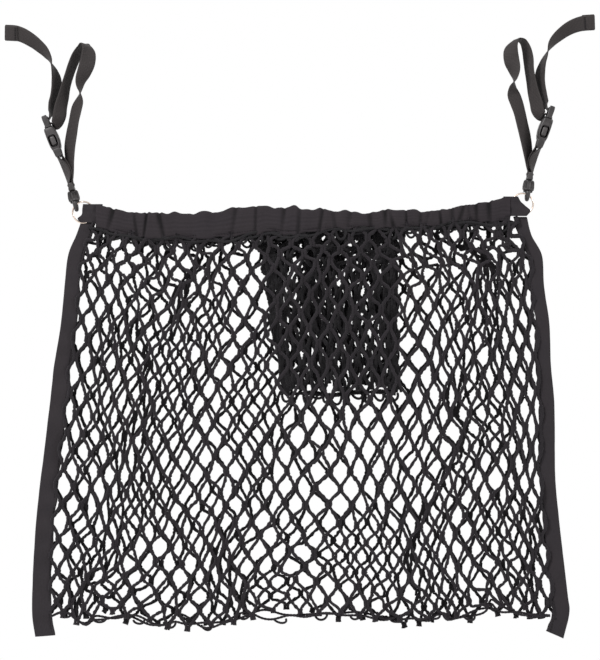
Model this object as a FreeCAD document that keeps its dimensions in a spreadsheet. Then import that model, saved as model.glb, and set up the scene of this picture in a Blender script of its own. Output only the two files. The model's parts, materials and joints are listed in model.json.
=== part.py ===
import FreeCAD, Part
import Sketcher
import math
import os

# Hanging net bag with an elasticated mouth, an inner pocket and two hook-on straps.
# Millimetres, +X to the bag's right, +Y to its back, +Z up.
# The origin is the middle of the rail that the two strap loops hang on.

V = FreeCAD.Vector
X_AXIS, Y_AXIS, Z_AXIS = V(1, 0, 0), V(0, 1, 0), V(0, 0, 1)

DIMENSIONS = {
    # bag outline
    "band_left": -203, "band_right": 203, "band_low": -188.5, "band_high": -163.5,
    "mouth_bulge": 15, "mouth_half_chord": 212, "band_ply": 4, "casing_wall": 1,
    "elastic_ply": 1.4, "elastic_height": 19, "ply_gap": 0.3,
    "net_ply": 2, "net_top": -190, "net_middle": -390, "net_bottom": -578,
    "net_top_left": -212, "net_top_right": 216, "net_middle_left": -243,
    "net_middle_right": 238, "net_bottom_left": -253, "net_bottom_right": 249,
    "belly_bulge": 20, "bottom_bulge": 1.5,
    "selvedge_radius": 3, "selvedge_z": -583, "selvedge_left": -249, "selvedge_right": 245,
    # folded side tapes
    "left_tape_top_x": -223, "left_tape_foot_x": -271, "left_tape_top_z": -186,
    "left_tape_foot_z": -595, "left_tape_bow": 11,
    "right_tape_top_x": 227, "right_tape_foot_x": 266, "right_tape_top_z": -180,
    "right_tape_foot_z": -596, "right_tape_bow": 6.5,
    "tape_top_width": 14, "tape_foot_width": 21, "tape_depth": 7.8, "tape_wall": 0.8,
    "tape_fold": 3,
    # inner pocket
    "pocket_top_left": -34.5, "pocket_foot_left": -13.5, "pocket_right": 88,
    "pocket_foot": -357, "pocket_bulge": 6, "pocket_ply": 1.6,
    "seam_width": 6, "seam_depth": 5, "seam_gap": 0.5, "hem_height": 7.5,
    # wire rings and their tabs
    "ring_radius": 10.6, "wire_radius": 0.8, "left_ring_x": -219.7, "left_ring_z": -172.3,
    "right_ring_x": 219.5, "right_ring_z": -164, "tab_length": 18, "tab_height": 16,
    "tab_depth": 4.8, "tab_slot": 2.8, "tab_slot_length": 13,
    # webbing
    "web_width": 16.2, "web_ply": 1.5, "web_clear": 0.2,
    # side-release buckles, measured down from the ladder end
    "left_buckle_x": -258.5, "left_buckle_z": -76.5, "left_buckle_tilt": -20.7,
    "right_buckle_x": 249, "right_buckle_z": -67, "right_buckle_tilt": 18.4,
    "buckle_width": 22.4, "buckle_slot": 17.2, "ladder_depth": 5.6,
    "end_bar_radius": 1.5, "end_bar_drop": 1.5, "mid_bar_radius": 1.3, "mid_bar_drop": 6.8,
    "shoulder_drop": 10.6, "shoulder_height": 1.4, "shell_drop": 12.3, "shell_height": 23.2,
    "shell_depth": 11.5, "shell_wall": 1.4, "mouth_depth": 7, "window_drop": 20.5,
    "window_height": 12, "window_depth": 8, "foot_bar_radius": 1.8, "foot_bar_drop": 41.4,
    "foot_depth": 6.4, "prong_width": 3.6, "prong_length": 19, "prong_depth": 3.6,
    "arm_depth": 5, "arm_root": 12.3, "arm_foot": 32, "arm_y": 6.9, "arm_ply": 1.4,
    "pad_drop": 22, "pad_foot": 31, "pad_y": 11, "pad_round": 2, "shell_round": 3,
    "shell_floor": 2, "rail_round": 0.9, "foot_round": 1.1,
    # snap hooks, measured down from the top of the eye
    "left_hook_x": -232.5, "left_hook_z": -143, "left_hook_tilt": -13,
    "right_hook_x": 227.2, "right_hook_z": -132.2, "right_hook_tilt": 7,
    "eye_bar_radius": 1.8, "eye_bar_drop": 1.9, "eye_width": 22.4, "eye_base_drop": 5.6,
    "eye_base_height": 2.2, "post_radius": 2, "post_foot": 11.8, "post_head_radius": 3.3,
    "post_head_height": 1.8, "post_play": 0.06,
    "barrel_drop": 8.1, "barrel_foot": 16.6, "barrel_radius": 5.7, "flute_radius": 0.8,
    "flute_drop": 9.4, "flutes": 12, "crook_radius": 6.4, "crook_wire": 2.1,
    "crook_centre": 21, "crook_tip": 18.8, "shoulder_top": 12.6, "gate_drop": 15,
    "gate_foot": 20, "gate_ply": 1.4, "gate_depth": 3.6, "gate_y": 3,
    "gate_knuckle": 1.1, "gate_room": 0.35, "gate_swing_room": 1.6,
    "pin_radius": 0.5, "pin_length": 8.4, "pin_play": 0.05,
    "eye_round": 0.8, "barrel_round": 1, "tip_round": 1.2,
    # sewing on the webbing
    "thread": 0.4, "hem_gap": 0.05, "thread_gap": 0.1,
}

# Webbing routes: x, y, z of the middle line and the roll of its width in degrees, measured
# from the line square to the route in the XZ plane towards +Y.
LEFT_LEG = [
    (-229.9, 0, -137.5, 90), (-230, 0, -130, 94), (-231.2, 0, -120, 106),
    (-232.2, 0, -107, 124), (-231.2, 0, -94, 127), (-229.1, 0, -81, 125),
    (-226.5, 0, -69, 126), (-223.7, 0, -61, 114), (-223.1, 0, -54, 92),
    (-223.1, 0, -47, 70), (-221.8, -1, -39.5, 50), (-218.4, -2, -31.5, 32),
    (-215.4, -3, -23, 20), (-214.2, -4, -14, 32), (-215.2, -3, -7.5, 60),
    (-218.5, 0, -4.3, 88), (-222.5, 3, -7, 108), (-226.6, 4, -15, 122),
    (-230.6, 4, -24.5, 122), (-234.2, 4, -35, 120), (-237.4, 3, -46, 119),
    (-239.4, 2, -57, 119), (-241.4, 1, -66.5, 126), (-244.8, 0, -75, 130),
    (-248.7, 0, -81.3, 108),
]
LEFT_TAIL = [
    (-252.5, 1, -72, 75), (-250.5, 3, -65, 58), (-248.2, 5, -57, 54), (-247, 6, -48, 54),
    (-247, 6, -39.5, 56), (-248.7, 5, -32, 68), (-251.8, 3, -24, 90),
    (-254.6, 1, -17.5, 112), (-259.5, -1, -10.5, 128), (-266, -2, -4.5, 136),
    (-273, -3, 0.5, 144), (-280, -3, 4.4, 150), (-287.5, -3, 6.7, 156),
    (-296.5, -3, 7.2, 158),
]
RIGHT_LEG = [
    (224.6, 0, -127, 90), (224, 0, -119, 85), (222.9, 0, -108, 70),
    (221.6, 0, -95.5, 52), (219.3, 0, -84, 46), (216.6, 0, -72.5, 46),
    (213.8, 0, -63.5, 42), (210.8, 0, -55.5, 40), (210.2, 0, -49, 58),
    (210.8, 0, -43, 80), (211.4, -1, -36.5, 112), (210.6, -2, -28.5, 140),
    (208.4, -3, -20.5, 158), (207.6, -4, -12, 150), (209.6, -3, -4.5, 120),
    (214, 0, 0.5, 92), (220, 3, -1, 72), (223.6, 4, -8, 60), (225.6, 4, -18, 54),
    (226.6, 4, -29, 58), (228.4, 3, -41, 60), (229.8, 2, -52, 60), (232, 1, -62, 50),
    (235.8, 0, -69.5, 50), (239.6, 0, -72.6, 72),
]
RIGHT_TAIL = [
    (243, 1, -63.5, 108), (240, 3, -56, 122), (238, 5, -48, 126), (237.2, 6, -39.5, 126),
    (238, 6, -31, 122), (240.4, 5, -22.5, 110), (243.4, 3, -15.5, 98),
    (245.4, 2, -10.5, 86), (248.4, 1, -4.4, 66), (253.4, -1, 1.8, 52),
    (260, -2, 7.5, 44), (267.5, -3, 12.2, 36), (275, -3, 15.2, 30), (282, -3, 16.6, 24),
    (290.3, -3, 17.2, 22),
]
# The webbing's turn round the ladder's middle bar: across the buckle, and drop from its end.
LADDER_TURN = [
    (4, 8.8), (1.5, 9.1), (0, 9.05), (-1.6, 8.4), (-2.25, 6.8), (-1.6, 5.2), (0, 4.5),
    (1.5, 4.4), (4.3, 3.1), (5.6, 0.8),
]
LADDER_SIDE = {"left": 1, "right": -1}

doc = FreeCAD.newDocument("hanging_net")
sheet = doc.addObject("Spreadsheet::Sheet", "dims")
nodes = []


def fill_sheet():
    """Write every driving dimension to the sheet as a named cell."""
    for row, (name, value) in enumerate(DIMENSIONS.items(), start=1):
        sheet.set(f"A{row}", name)
        sheet.set(f"B{row}", str(value))
        sheet.setAlias(f"B{row}", name)
    doc.recompute()


def dim(name):
    """The value of one driving dimension."""
    return float(sheet.get(name))


def cell(formula):
    """A formula with the sheet's name put before each dimension."""
    words = []
    for word in formula.replace("(", "( ").replace(")", " )").split():
        words.append(f"dims.{word}" if word in DIMENSIONS else word)
    return " ".join(words)


def bind(target, **formulas):
    """Bind properties of an object to the sheet; a double underscore stands for a dot."""
    for prop, formula in formulas.items():
        target.setExpression(prop.replace("__", "."), cell(formula))
    return target


def node(item, label, placement=None):
    """Name a finished sub-part, place it, and keep it for writing."""
    item.Label = label
    if placement is not None:
        item.Placement = placement
    nodes.append(item)
    return item


def make(kind, **formulas):
    """A Part primitive with its sizes bound to the sheet."""
    return bind(doc.addObject(f"Part::{kind}", kind.lower()), **formulas)


def box(length, width, height, x="0", y="0", z="0"):
    """A box from its sizes and lowest corner, all bound to the sheet."""
    return make("Box", Length=length, Width=width, Height=height,
                Placement__Base__x=x, Placement__Base__y=y, Placement__Base__z=z)


def bar_along_y(radius, length, drop):
    """A round bar along Y, centred, at a drop below the local origin."""
    bar = make("Cylinder", Radius=radius, Height=length,
               Placement__Base__y=f"{length} / 2", Placement__Base__z=f"0 - {drop}")
    bar.Placement.Rotation = FreeCAD.Rotation(X_AXIS, 90)
    return bar


def post(radius, low, high, x="0", y="0"):
    """A round post along Z between two drops, low being the deeper."""
    return make("Cylinder", Radius=radius, Height=f"{low} - ( {high} )",
                Placement__Base__x=x, Placement__Base__y=y,
                Placement__Base__z=f"0 - ( {low} )")


def fuse(*shapes):
    """One solid from several that touch."""
    joined = doc.addObject("Part::MultiFuse", "joined")
    joined.Shapes = list(shapes)
    joined.Refine = True
    return joined


def cut(base, *tools):
    """A base with one or more tools taken away."""
    left = doc.addObject("Part::Cut", "cut")
    left.Base = base
    left.Tool = tools[0] if len(tools) == 1 else fuse(*tools)
    left.Refine = True
    return left


def common(first, second):
    """What two solids share."""
    shared = doc.addObject("Part::Common", "shared")
    shared.Base = first
    shared.Tool = second
    return shared


def rounded(base, radius, keep):
    """Round the edges that the test picks."""
    doc.recompute()
    fillet = doc.addObject("Part::Fillet", "rounded")
    fillet.Base = base
    picked = [i + 1 for i, edge in enumerate(base.Shape.Edges) if keep(edge)]
    fillet.Edges = [(i, radius, radius) for i in picked]
    return fillet


def mirrored(source):
    """The same piece on the bag's other face."""
    other = doc.addObject("Part::Mirroring", "mirrored")
    other.Source = source
    other.Normal = Y_AXIS
    return other


def sketch_on(body, role, **offsets):
    """An empty sketch on one of a body's own origin planes."""
    sketch = body.newObject("Sketcher::SketchObject", "outline")
    plane = next(f for f in body.Origin.OriginFeatures if f.Role == role)
    sketch.AttachmentSupport = [(plane, "")]
    sketch.MapMode = "FlatFace"
    return bind(sketch, **offsets)


def pin_point(sketch, edge, end, x, y):
    """Hold one end of a sketch edge at a place given by two formulas."""
    for kind, formula in (("DistanceX", x), ("DistanceY", y)):
        placed = sketch.getPoint(edge, end)
        now = placed.x if kind == "DistanceX" else placed.y
        index = sketch.addConstraint(Sketcher.Constraint(kind, -1, 1, edge, end, now))
        sketch.setExpression(f"Constraints[{index}]", cell(formula))


def sag_radius(chord, bow):
    """The radius of an arc with this chord and this rise, as a formula."""
    return f"( ( {chord} ) ^ 2 / 4 + ( {bow} ) ^ 2 ) / ( 2 * ( {bow} ) )"


def lens_section(body, level, left, right, bulge, ply):
    """One cross-section of a front net: a ply that bulges between its two edges."""
    sketch = sketch_on(body, "XY_Plane", AttachmentOffset__Base__z=level)
    low, high, rise = dim(left), dim(right), dim(bulge)
    middle = (low + high) / 2
    inner, outer = -dim("ply_gap"), -dim("ply_gap") - dim(ply)
    sketch.addGeometry([
        Part.Arc(V(low, outer, 0), V(middle, outer - rise, 0), V(high, outer, 0)),
        Part.LineSegment(V(high, outer, 0), V(high, inner, 0)),
        Part.Arc(V(low, inner, 0), V(middle, inner - rise, 0), V(high, inner, 0)),
        Part.LineSegment(V(low, inner, 0), V(low, outer, 0)),
    ], False)
    for first, end, second, start in ((0, 2, 1, 1), (1, 2, 2, 2), (2, 1, 3, 1), (3, 2, 0, 1)):
        sketch.addConstraint(Sketcher.Constraint("Coincident", first, end, second, start))
    for arc, depth in ((0, f"0 - ply_gap - {ply}"), (2, "0 - ply_gap")):
        pin_point(sketch, arc, 1, left, depth)
        pin_point(sketch, arc, 2, right, depth)
        index = sketch.addConstraint(Sketcher.Constraint("Radius", arc, 1000))
        sketch.setExpression(f"Constraints[{index}]", cell(sag_radius(f"{right} - {left}", bulge)))
    return sketch


def lens_net(label, bulges, lefts, rights, levels, ply):
    """A net's closed envelope: the front one lofted through its sections."""
    body = doc.addObject("PartDesign::Body", label)
    sections = [
        lens_section(body, level, left, right, bulge, ply)
        for level, left, right, bulge in zip(levels, lefts, rights, bulges)
    ]
    doc.recompute()
    loft = body.newObject("PartDesign::AdditiveLoft", "loft")
    loft.Profile = sections[0]
    loft.Sections = sections[1:]
    loft.Ruled = True
    return node(body, label)


def add_nets():
    """The bag's front and back nets and the cord that closes the bottom."""
    front = lens_net(
        "front_net", ("mouth_bulge", "belly_bulge", "bottom_bulge"),
        ("net_top_left", "net_middle_left", "net_bottom_left"),
        ("net_top_right", "net_middle_right", "net_bottom_right"),
        ("net_top", "net_middle", "net_bottom"), "net_ply")
    node(mirrored(front), "back_net")
    cord = make("Cylinder", Radius="selvedge_radius", Height="selvedge_right - selvedge_left",
                Placement__Base__x="selvedge_left", Placement__Base__z="selvedge_z")
    cord.Placement.Rotation = FreeCAD.Rotation(Y_AXIS, 90)
    node(cord, "bottom_selvedge")


def mouth_strip(inset, ply, left, right, low, high):
    """A strip that follows the mouth's curve, inset from the inner face of the casing."""
    inner_radius = sag_radius("2 * mouth_half_chord", "mouth_bulge")
    centre = f"{inner_radius} - mouth_bulge - ply_gap"
    shells = [
        make("Cylinder", Radius=f"{inner_radius} + {reach}", Height=f"{high} - ( {low} )",
             Placement__Base__y=centre, Placement__Base__z=low)
        for reach in (f"{inset} + {ply}", inset)
    ]
    slab = box(f"{right} - ( {left} )", "2 * mouth_bulge", f"{high} - ( {low} )",
               x=left, y="0 - 2 * mouth_bulge", z=low)
    return common(cut(*shells), slab)


def add_mouth():
    """The two woven casings round the mouth and the elastic that runs in each."""
    outer = mouth_strip("0", "band_ply", "band_left", "band_right", "band_low", "band_high")
    hollow = mouth_strip("casing_wall", "( band_ply - 2 * casing_wall )", "band_left - 1",
                         "band_right + 1", "band_low + casing_wall", "band_high - casing_wall")
    front = node(cut(outer, hollow), "front_band_casing")
    middle = "( band_low + band_high ) / 2"
    strip = mouth_strip("( band_ply - elastic_ply ) / 2", "elastic_ply", "band_left", "band_right",
                        f"{middle} - elastic_height / 2", f"{middle} + elastic_height / 2")
    elastic = node(strip, "front_elastic")
    node(mirrored(front), "back_band_casing")
    node(mirrored(elastic), "back_elastic")


def tape_outline(body, side, near, over):
    """The outline of a side tape, or of the slot inside it, between two bowed lines."""
    sketch = sketch_on(body, "XZ_Plane")
    sign = 1 if side == "left" else -1
    inward = "+" if sign > 0 else "-"
    edges = []
    for reach_top, reach_foot, extra in (
            (near, near, "0"), ("tape_top_width", "tape_foot_width", over)):
        top_x = f"{side}_tape_top_x {inward} {reach_top} {inward} {extra}"
        foot_x = f"{side}_tape_foot_x {inward} {reach_foot} {inward} {extra}"
        edges.append((top_x, foot_x))
    top_z, foot_z = f"{side}_tape_top_z + {over}", f"{side}_tape_foot_z - {over}"
    bow = dim(f"{side}_tape_bow")
    arcs = []
    for top_x, foot_x in edges:
        top = V(value_of(top_x), value_of(top_z), 0)
        foot = V(value_of(foot_x), value_of(foot_z), 0)
        middle = (top + foot) / 2 - V(sign * bow, 0, 0)
        arcs.append((top, foot, Part.Arc(top, middle, foot)))
    sketch.addGeometry([
        arcs[0][2], Part.LineSegment(arcs[0][1], arcs[1][1]), arcs[1][2],
        Part.LineSegment(arcs[1][0], arcs[0][0]),
    ], False)
    at_top, at_foot = (1, 2) if sign > 0 else (2, 1)
    for joint in ((0, at_foot, 1, 1), (1, 2, 2, at_foot), (2, at_top, 3, 1), (3, 2, 0, at_top)):
        sketch.addConstraint(Sketcher.Constraint("Coincident", *joint))
    for arc, (top_x, foot_x) in zip((0, 2), edges):
        pin_point(sketch, arc, at_top, top_x, top_z)
        pin_point(sketch, arc, at_foot, foot_x, foot_z)
        index = sketch.addConstraint(Sketcher.Constraint("Radius", arc, 2000))
        lean = f"( {foot_x} - ( {top_x} ) )"
        drop = f"( {top_z} - ( {foot_z} ) )"
        chord = f"sqrt( {lean} ^ 2 + {drop} ^ 2 )"
        sketch.setExpression(f"Constraints[{index}]", cell(sag_radius(chord, f"{side}_tape_bow")))
    return sketch


def value_of(formula):
    """The number that a sum or difference of dimensions comes to."""
    total, sign = 0.0, 1
    for word in formula.split():
        if word in "+-":
            sign = 1 if word == "+" else -1
        else:
            total += sign * (dim(word) if word in DIMENSIONS else float(word))
    return total


def add_side_tape(side):
    """A folded tape that holds the nets' side edges in its slot."""
    body = doc.addObject("PartDesign::Body", f"{side}_side_tape")
    outline = tape_outline(body, side, "0", "0")
    pad = body.newObject("PartDesign::Pad", "pad")
    pad.Profile = outline
    pad.SideType = "Symmetric"
    bind(pad, Length="tape_depth")
    doc.recompute()
    slot = tape_outline(body, side, "tape_fold", "1")
    pocket = body.newObject("PartDesign::Pocket", "slot")
    pocket.Profile = slot
    pocket.SideType = "Symmetric"
    bind(pocket, Length="tape_depth - 2 * tape_wall")
    node(body, f"{side}_side_binding")


def add_pocket():
    """The inner net pocket with its gathered side seams and looped hem."""
    front = lens_net(
        "pocket_front_net", ("pocket_bulge", "pocket_bulge"),
        ("pocket_top_left", "pocket_foot_left"), ("pocket_right", "pocket_right"),
        ("net_top", "pocket_foot"), "pocket_ply")
    node(mirrored(front), "pocket_back_net")
    lean = dim("pocket_foot_left") - dim("pocket_top_left")
    drop = dim("net_top") - dim("pocket_foot")
    left = make("Box", Length="seam_width", Width="seam_depth", Height="net_top - pocket_foot")
    tilt = math.degrees(math.atan2(lean, drop))
    foot = V(dim("pocket_foot_left") - dim("seam_width") - dim("seam_gap"), -dim("seam_depth") / 2,
             dim("pocket_foot"))
    node(left, "pocket_left_seam", FreeCAD.Placement(foot, FreeCAD.Rotation(Y_AXIS, -tilt)))
    right = box("seam_width", "seam_depth", "net_top - pocket_foot", x="pocket_right + seam_gap",
                y="0 - seam_depth / 2", z="pocket_foot")
    node(right, "pocket_right_seam")
    hem = box("pocket_right - pocket_foot_left", "seam_depth", "hem_height", x="pocket_foot_left",
              y="0 - seam_depth / 2", z="pocket_foot - hem_height - seam_gap")
    node(hem, "pocket_bottom_hem")


def add_ring(side):
    """A wire ring and the folded tape tab that holds it at the mouth's corner."""
    ring = make("Torus", Radius1="ring_radius", Radius2="wire_radius")
    centre = V(dim(f"{side}_ring_x"), 0, dim(f"{side}_ring_z"))
    node(ring, f"{side}_ring", FreeCAD.Placement(centre, FreeCAD.Rotation(X_AXIS, 90)))
    start = "band_left - tab_length" if side == "left" else "band_right"
    slot_start = f"{start} + 1" if side == "left" else f"{start} + tab_length - tab_slot_length - 1"
    low = f"{side}_ring_z - tab_height / 2"
    block = box("tab_length", "tab_depth", "tab_height", x=start, y="0 - tab_depth / 2", z=low)
    tunnel = box("tab_slot_length", "tab_slot", "tab_height + 2", x=slot_start,
                 y="0 - tab_slot / 2", z=f"{low} - 1")
    node(cut(block, tunnel), f"{side}_ring_tab")


def buckle_place(side):
    """Where a buckle's ladder end is, and how it leans."""
    base = V(dim(f"{side}_buckle_x"), 0, dim(f"{side}_buckle_z"))
    return FreeCAD.Placement(base, FreeCAD.Rotation(Y_AXIS, dim(f"{side}_buckle_tilt")))


def hook_place(side):
    """Where the top of a hook's eye is, and how it leans."""
    base = V(dim(f"{side}_hook_x"), 0, dim(f"{side}_hook_z"))
    return FreeCAD.Placement(base, FreeCAD.Rotation(Y_AXIS, dim(f"{side}_hook_tilt")))


def slab(depth, low_y, high_y, top, foot):
    """A block centred on the local X, between two Y values and two drops."""
    return box(depth, f"{high_y} - ( {low_y} )", f"{foot} - ( {top} )",
               x=f"0 - ( {depth} ) / 2", y=low_y, z=f"0 - ( {foot} )")


def side_rails(depth, top, foot):
    """The two rails beside a webbing slot."""
    half_slot, half_width = "buckle_slot / 2", "buckle_width / 2"
    return [
        slab(depth, half_slot, half_width, top, foot),
        slab(depth, f"0 - {half_width}", f"0 - {half_slot}", top, foot),
    ]


def add_buckle_ladder(side):
    """The buckle half that the long strap is threaded through, with its guide prong."""
    bars = [
        bar_along_y("end_bar_radius", "buckle_width", "end_bar_drop"),
        bar_along_y("mid_bar_radius", "buckle_width", "mid_bar_drop"),
    ]
    rails = side_rails("ladder_depth", "0", "shoulder_drop")
    shoulder_foot = "shoulder_drop + shoulder_height"
    shoulder = slab("ladder_depth", "0 - buckle_width / 2", "buckle_width / 2", "shoulder_drop",
                    shoulder_foot)
    prong = slab("prong_depth", "0 - prong_width / 2", "prong_width / 2", shoulder_foot,
                 f"{shoulder_foot} + prong_length")
    rails = [rounded(rail, dim("rail_round"), lambda edge: True) for rail in rails]
    node(fuse(*bars, *rails, shoulder, prong), f"{side}_buckle_ladder", buckle_place(side))


def oval_window(low_y):
    """The cutter of one oval side window, from a Y value outwards."""
    radius = "window_depth / 2"
    middle = slab("window_depth", low_y, f"{low_y} + shell_depth", f"window_drop + {radius}",
                  f"window_drop + window_height - {radius}")
    ends = []
    for drop in (f"window_drop + {radius}", f"window_drop + window_height - {radius}"):
        end = make("Cylinder", Radius=radius, Height="shell_depth",
                   Placement__Base__y=f"{low_y} + shell_depth", Placement__Base__z=f"0 - ( {drop} )")
        end.Placement.Rotation = FreeCAD.Rotation(X_AXIS, 90)
        ends.append(end)
    return [middle, *ends]


def add_buckle_socket(side):
    """The hollow buckle half that the short strap holds, with its two side windows."""
    half = "buckle_width / 2"
    foot = "shell_drop + shell_height"
    outer = slab("shell_depth", f"0 - {half}", half, "shell_drop", foot)
    outer = rounded(outer, dim("shell_round"), lambda edge: abs(
        edge.Vertexes[0].X - edge.Vertexes[-1].X) < 1e-6 and abs(
        edge.Vertexes[0].Y - edge.Vertexes[-1].Y) < 1e-6)
    inside = slab("mouth_depth", f"0 - {half} + shell_wall", f"{half} - shell_wall",
                  "shell_drop - 1", f"{foot} - shell_floor")
    windows = oval_window(f"{half} - 3") + oval_window(f"3 - {half} - shell_depth")
    shell = cut(outer, inside, *windows)
    rails = side_rails("foot_depth", foot, "foot_bar_drop + foot_bar_radius")
    rails = [rounded(rail, dim("foot_round"), lambda edge: edge.BoundBox.ZMax < -dim("foot_bar_drop"))
             for rail in rails]
    bar = bar_along_y("foot_bar_radius", "buckle_width", "foot_bar_drop")
    node(fuse(shell, *rails, bar), f"{side}_buckle_socket", buckle_place(side))


def add_buckle_arm(side, face):
    """A sprung latch arm whose thumb pad shows in the socket's window."""
    flip = FreeCAD.Rotation(Z_AXIS, 180 if face == "front" else 0)
    beam = slab("arm_depth", "arm_y", "arm_y + arm_ply", "arm_root", "arm_foot")
    pad = slab("arm_depth", "arm_y + arm_ply / 2", "pad_y", "pad_drop", "pad_foot")
    pad = rounded(pad, dim("pad_round"), lambda edge: edge.BoundBox.YMin > dim("pad_y") - 0.01
                  and edge.BoundBox.XLength > 1)
    place = buckle_place(side).multiply(FreeCAD.Placement(V(0, 0, 0), flip))
    node(fuse(beam, pad), f"{side}_buckle_arm_{face}", place)


def add_hook_eye(side):
    """The eye that the webbing loops through, with the headed post that the hook turns on."""
    bar = bar_along_y("eye_bar_radius", "eye_width", "eye_bar_drop")
    depth = "2 * eye_bar_radius"
    base_foot = "eye_base_drop + eye_base_height"
    cheeks = [
        slab(depth, "buckle_slot / 2", "eye_width / 2", "eye_bar_drop", base_foot),
        slab(depth, "0 - eye_width / 2", "0 - buckle_slot / 2", "eye_bar_drop", base_foot),
    ]
    base = slab("2.4 * eye_bar_radius", "0 - eye_width / 2", "eye_width / 2", "eye_base_drop",
                base_foot)
    base = rounded(base, dim("eye_round"), lambda edge: True)
    stem = post("post_radius", "post_foot", f"{base_foot} - 1")
    head = post("post_head_radius", "post_foot", "post_foot - post_head_height")
    node(fuse(bar, *cheeks, base, stem, head), f"{side}_hook_eye", hook_place(side))


def crook_bend():
    """The half ring at the foot of the hook."""
    bend = make("Torus", Radius1="crook_radius", Radius2="crook_wire",
                Placement__Base__z="0 - crook_centre")
    bend.Angle3 = 180
    bend.Placement.Rotation = FreeCAD.Rotation(Y_AXIS, -Z_AXIS, -X_AXIS, "XYZ")
    return bend


def pin_hole(play):
    """The cutter of the hole across the barrel, or through the gate, for the gate's pin."""
    pin = make("Cylinder", Radius=f"pin_radius + {play}", Height="pin_length",
               Placement__Base__x="0 - pin_length / 2", Placement__Base__y="0 - gate_y",
               Placement__Base__z="0 - gate_drop")
    pin.Placement.Rotation = FreeCAD.Rotation(Y_AXIS, 90)
    return pin


def add_hook_body(side):
    """The fluted barrel with the crook that carries the ring."""
    barrel = post("barrel_radius", "barrel_foot", "barrel_drop")
    barrel = rounded(barrel, dim("barrel_round"),
                     lambda edge: edge.Length > 1 and edge.BoundBox.ZLength < 0.01)
    turns = int(dim("flutes"))
    flutes = []
    for turn in range(turns):
        angle = 360 * turn / turns
        across, deep = f"barrel_radius * cos( {angle} deg )", f"barrel_radius * sin( {angle} deg )"
        flutes.append(post("flute_radius", "barrel_foot + 1", "flute_drop", x=across, y=deep))
    play = "post_play"
    bore = post(f"post_radius + {play}", "post_foot", "barrel_drop - 1")
    room = post(f"post_head_radius + {play}", f"post_foot + {play}",
                f"post_foot - post_head_height - {play}")
    gate_room = slab("gate_depth + 2 * gate_room", "0 - gate_y - gate_knuckle - gate_room",
                     "0 - gate_y + gate_knuckle + gate_swing_room",
                     "gate_drop - gate_knuckle - gate_room", "barrel_foot + 1")
    core = cut(barrel, *flutes, bore, room, gate_room, pin_hole("0"))
    spine = post("crook_wire", "crook_centre", "shoulder_top", y="crook_radius")
    web = slab("2 * crook_wire", "2 * crook_wire", "crook_radius", "shoulder_top", "barrel_foot")
    tip = post("crook_wire", "crook_centre", "crook_tip", y="0 - crook_radius")
    tip = rounded(tip, dim("tip_round"), lambda edge: edge.Length > 1
                  and edge.BoundBox.ZMin > -dim("crook_tip") - 0.01)
    node(fuse(core, web, spine, crook_bend(), tip), f"{side}_hook_body", hook_place(side))


def add_hook_gate(side):
    """The sprung tongue that closes the crook from inside its tip."""
    knuckle = make("Cylinder", Radius="gate_knuckle", Height="gate_depth",
                   Placement__Base__x="0 - gate_depth / 2", Placement__Base__y="0 - gate_y",
                   Placement__Base__z="0 - gate_drop")
    knuckle.Placement.Rotation = FreeCAD.Rotation(Y_AXIS, 90)
    tongue = slab("gate_depth", "0 - gate_y - gate_ply / 2", "0 - gate_y + gate_ply / 2",
                  "gate_drop", "gate_foot")
    gate = cut(fuse(knuckle, tongue), pin_hole("pin_play"))
    node(gate, f"{side}_hook_gate", hook_place(side))
    pin = make("Cylinder", Radius="pin_radius", Height="pin_length")
    lying = FreeCAD.Placement(V(-dim("pin_length") / 2, -dim("gate_y"), -dim("gate_drop")),
                              FreeCAD.Rotation(Y_AXIS, 90))
    node(pin, f"{side}_hook_gate_pin", hook_place(side).multiply(lying))


def ribbon(route, width, ply, offset=0.0):
    """A solid strip of webbing along a route of points and rolls."""
    points = [V(x, y, z) for x, y, z, roll in route]
    wires = []
    for i, (x, y, z, roll) in enumerate(route):
        along = points[min(i + 1, len(points) - 1)] - points[max(i - 1, 0)]
        along.normalize()
        square = Y_AXIS.cross(along)
        square.normalize()
        angle = math.radians(roll)
        across = square * math.cos(angle) + Y_AXIS * math.sin(angle)
        across = across - along * across.dot(along)
        across.normalize()
        face = along.cross(across)
        middle = points[i] + face * offset
        reach, rise = across * (width / 2), face * (ply / 2)
        corners = [middle - reach - rise, middle + reach - rise, middle + reach + rise,
                   middle - reach + rise]
        wires.append(Part.makePolygon(corners + corners[:1]))
    return Part.makeLoft(wires, True, True)


def ladder_turn(side):
    """The route's stretch round the ladder's middle bar, in the bag's own frame."""
    place, turn = buckle_place(side), LADDER_SIDE[side]
    spots = [place.multVec(V(turn * across, 0, -drop)) for across, drop in LADDER_TURN]
    return [(spot.x, spot.y, spot.z, 90) for spot in spots]


def add_long_strap(side, leg, tail):
    """The webbing from the hook, over the rail, round the ladder and out to its hemmed end."""
    width, ply, hem_gap = dim("web_width"), dim("web_ply"), dim("hem_gap")
    strap = ribbon(leg + ladder_turn(side) + tail, width, ply)
    hem = ribbon(tail[-2:], width, ply, offset=ply + hem_gap)
    item = doc.addObject("Part::Feature", f"{side}_long_strap")
    item.Shape = Part.makeCompound([strap, hem])
    node(item, f"{side}_long_strap")
    stitches = doc.addObject("Part::Feature", f"{side}_strap_stitching")
    thread = dim("thread")
    rise = 1.5 * ply + 2 * hem_gap + thread / 2
    outward = -LADDER_SIDE[side] * ((ply + thread) / 2 + dim("thread_gap"))
    near, far = tail[-2], tail[-1]
    spots = [tuple(a + (b - a) * share for a, b in zip(near, far)) for share in (0.12, 0.3)]
    row = ribbon(spots, 0.88 * width, thread, offset=rise)
    tack = ribbon(leg[:2], width / 2, thread, offset=outward)
    stitches.Shape = Part.makeCompound([row, tack])
    node(stitches, f"{side}_strap_stitching")


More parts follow.
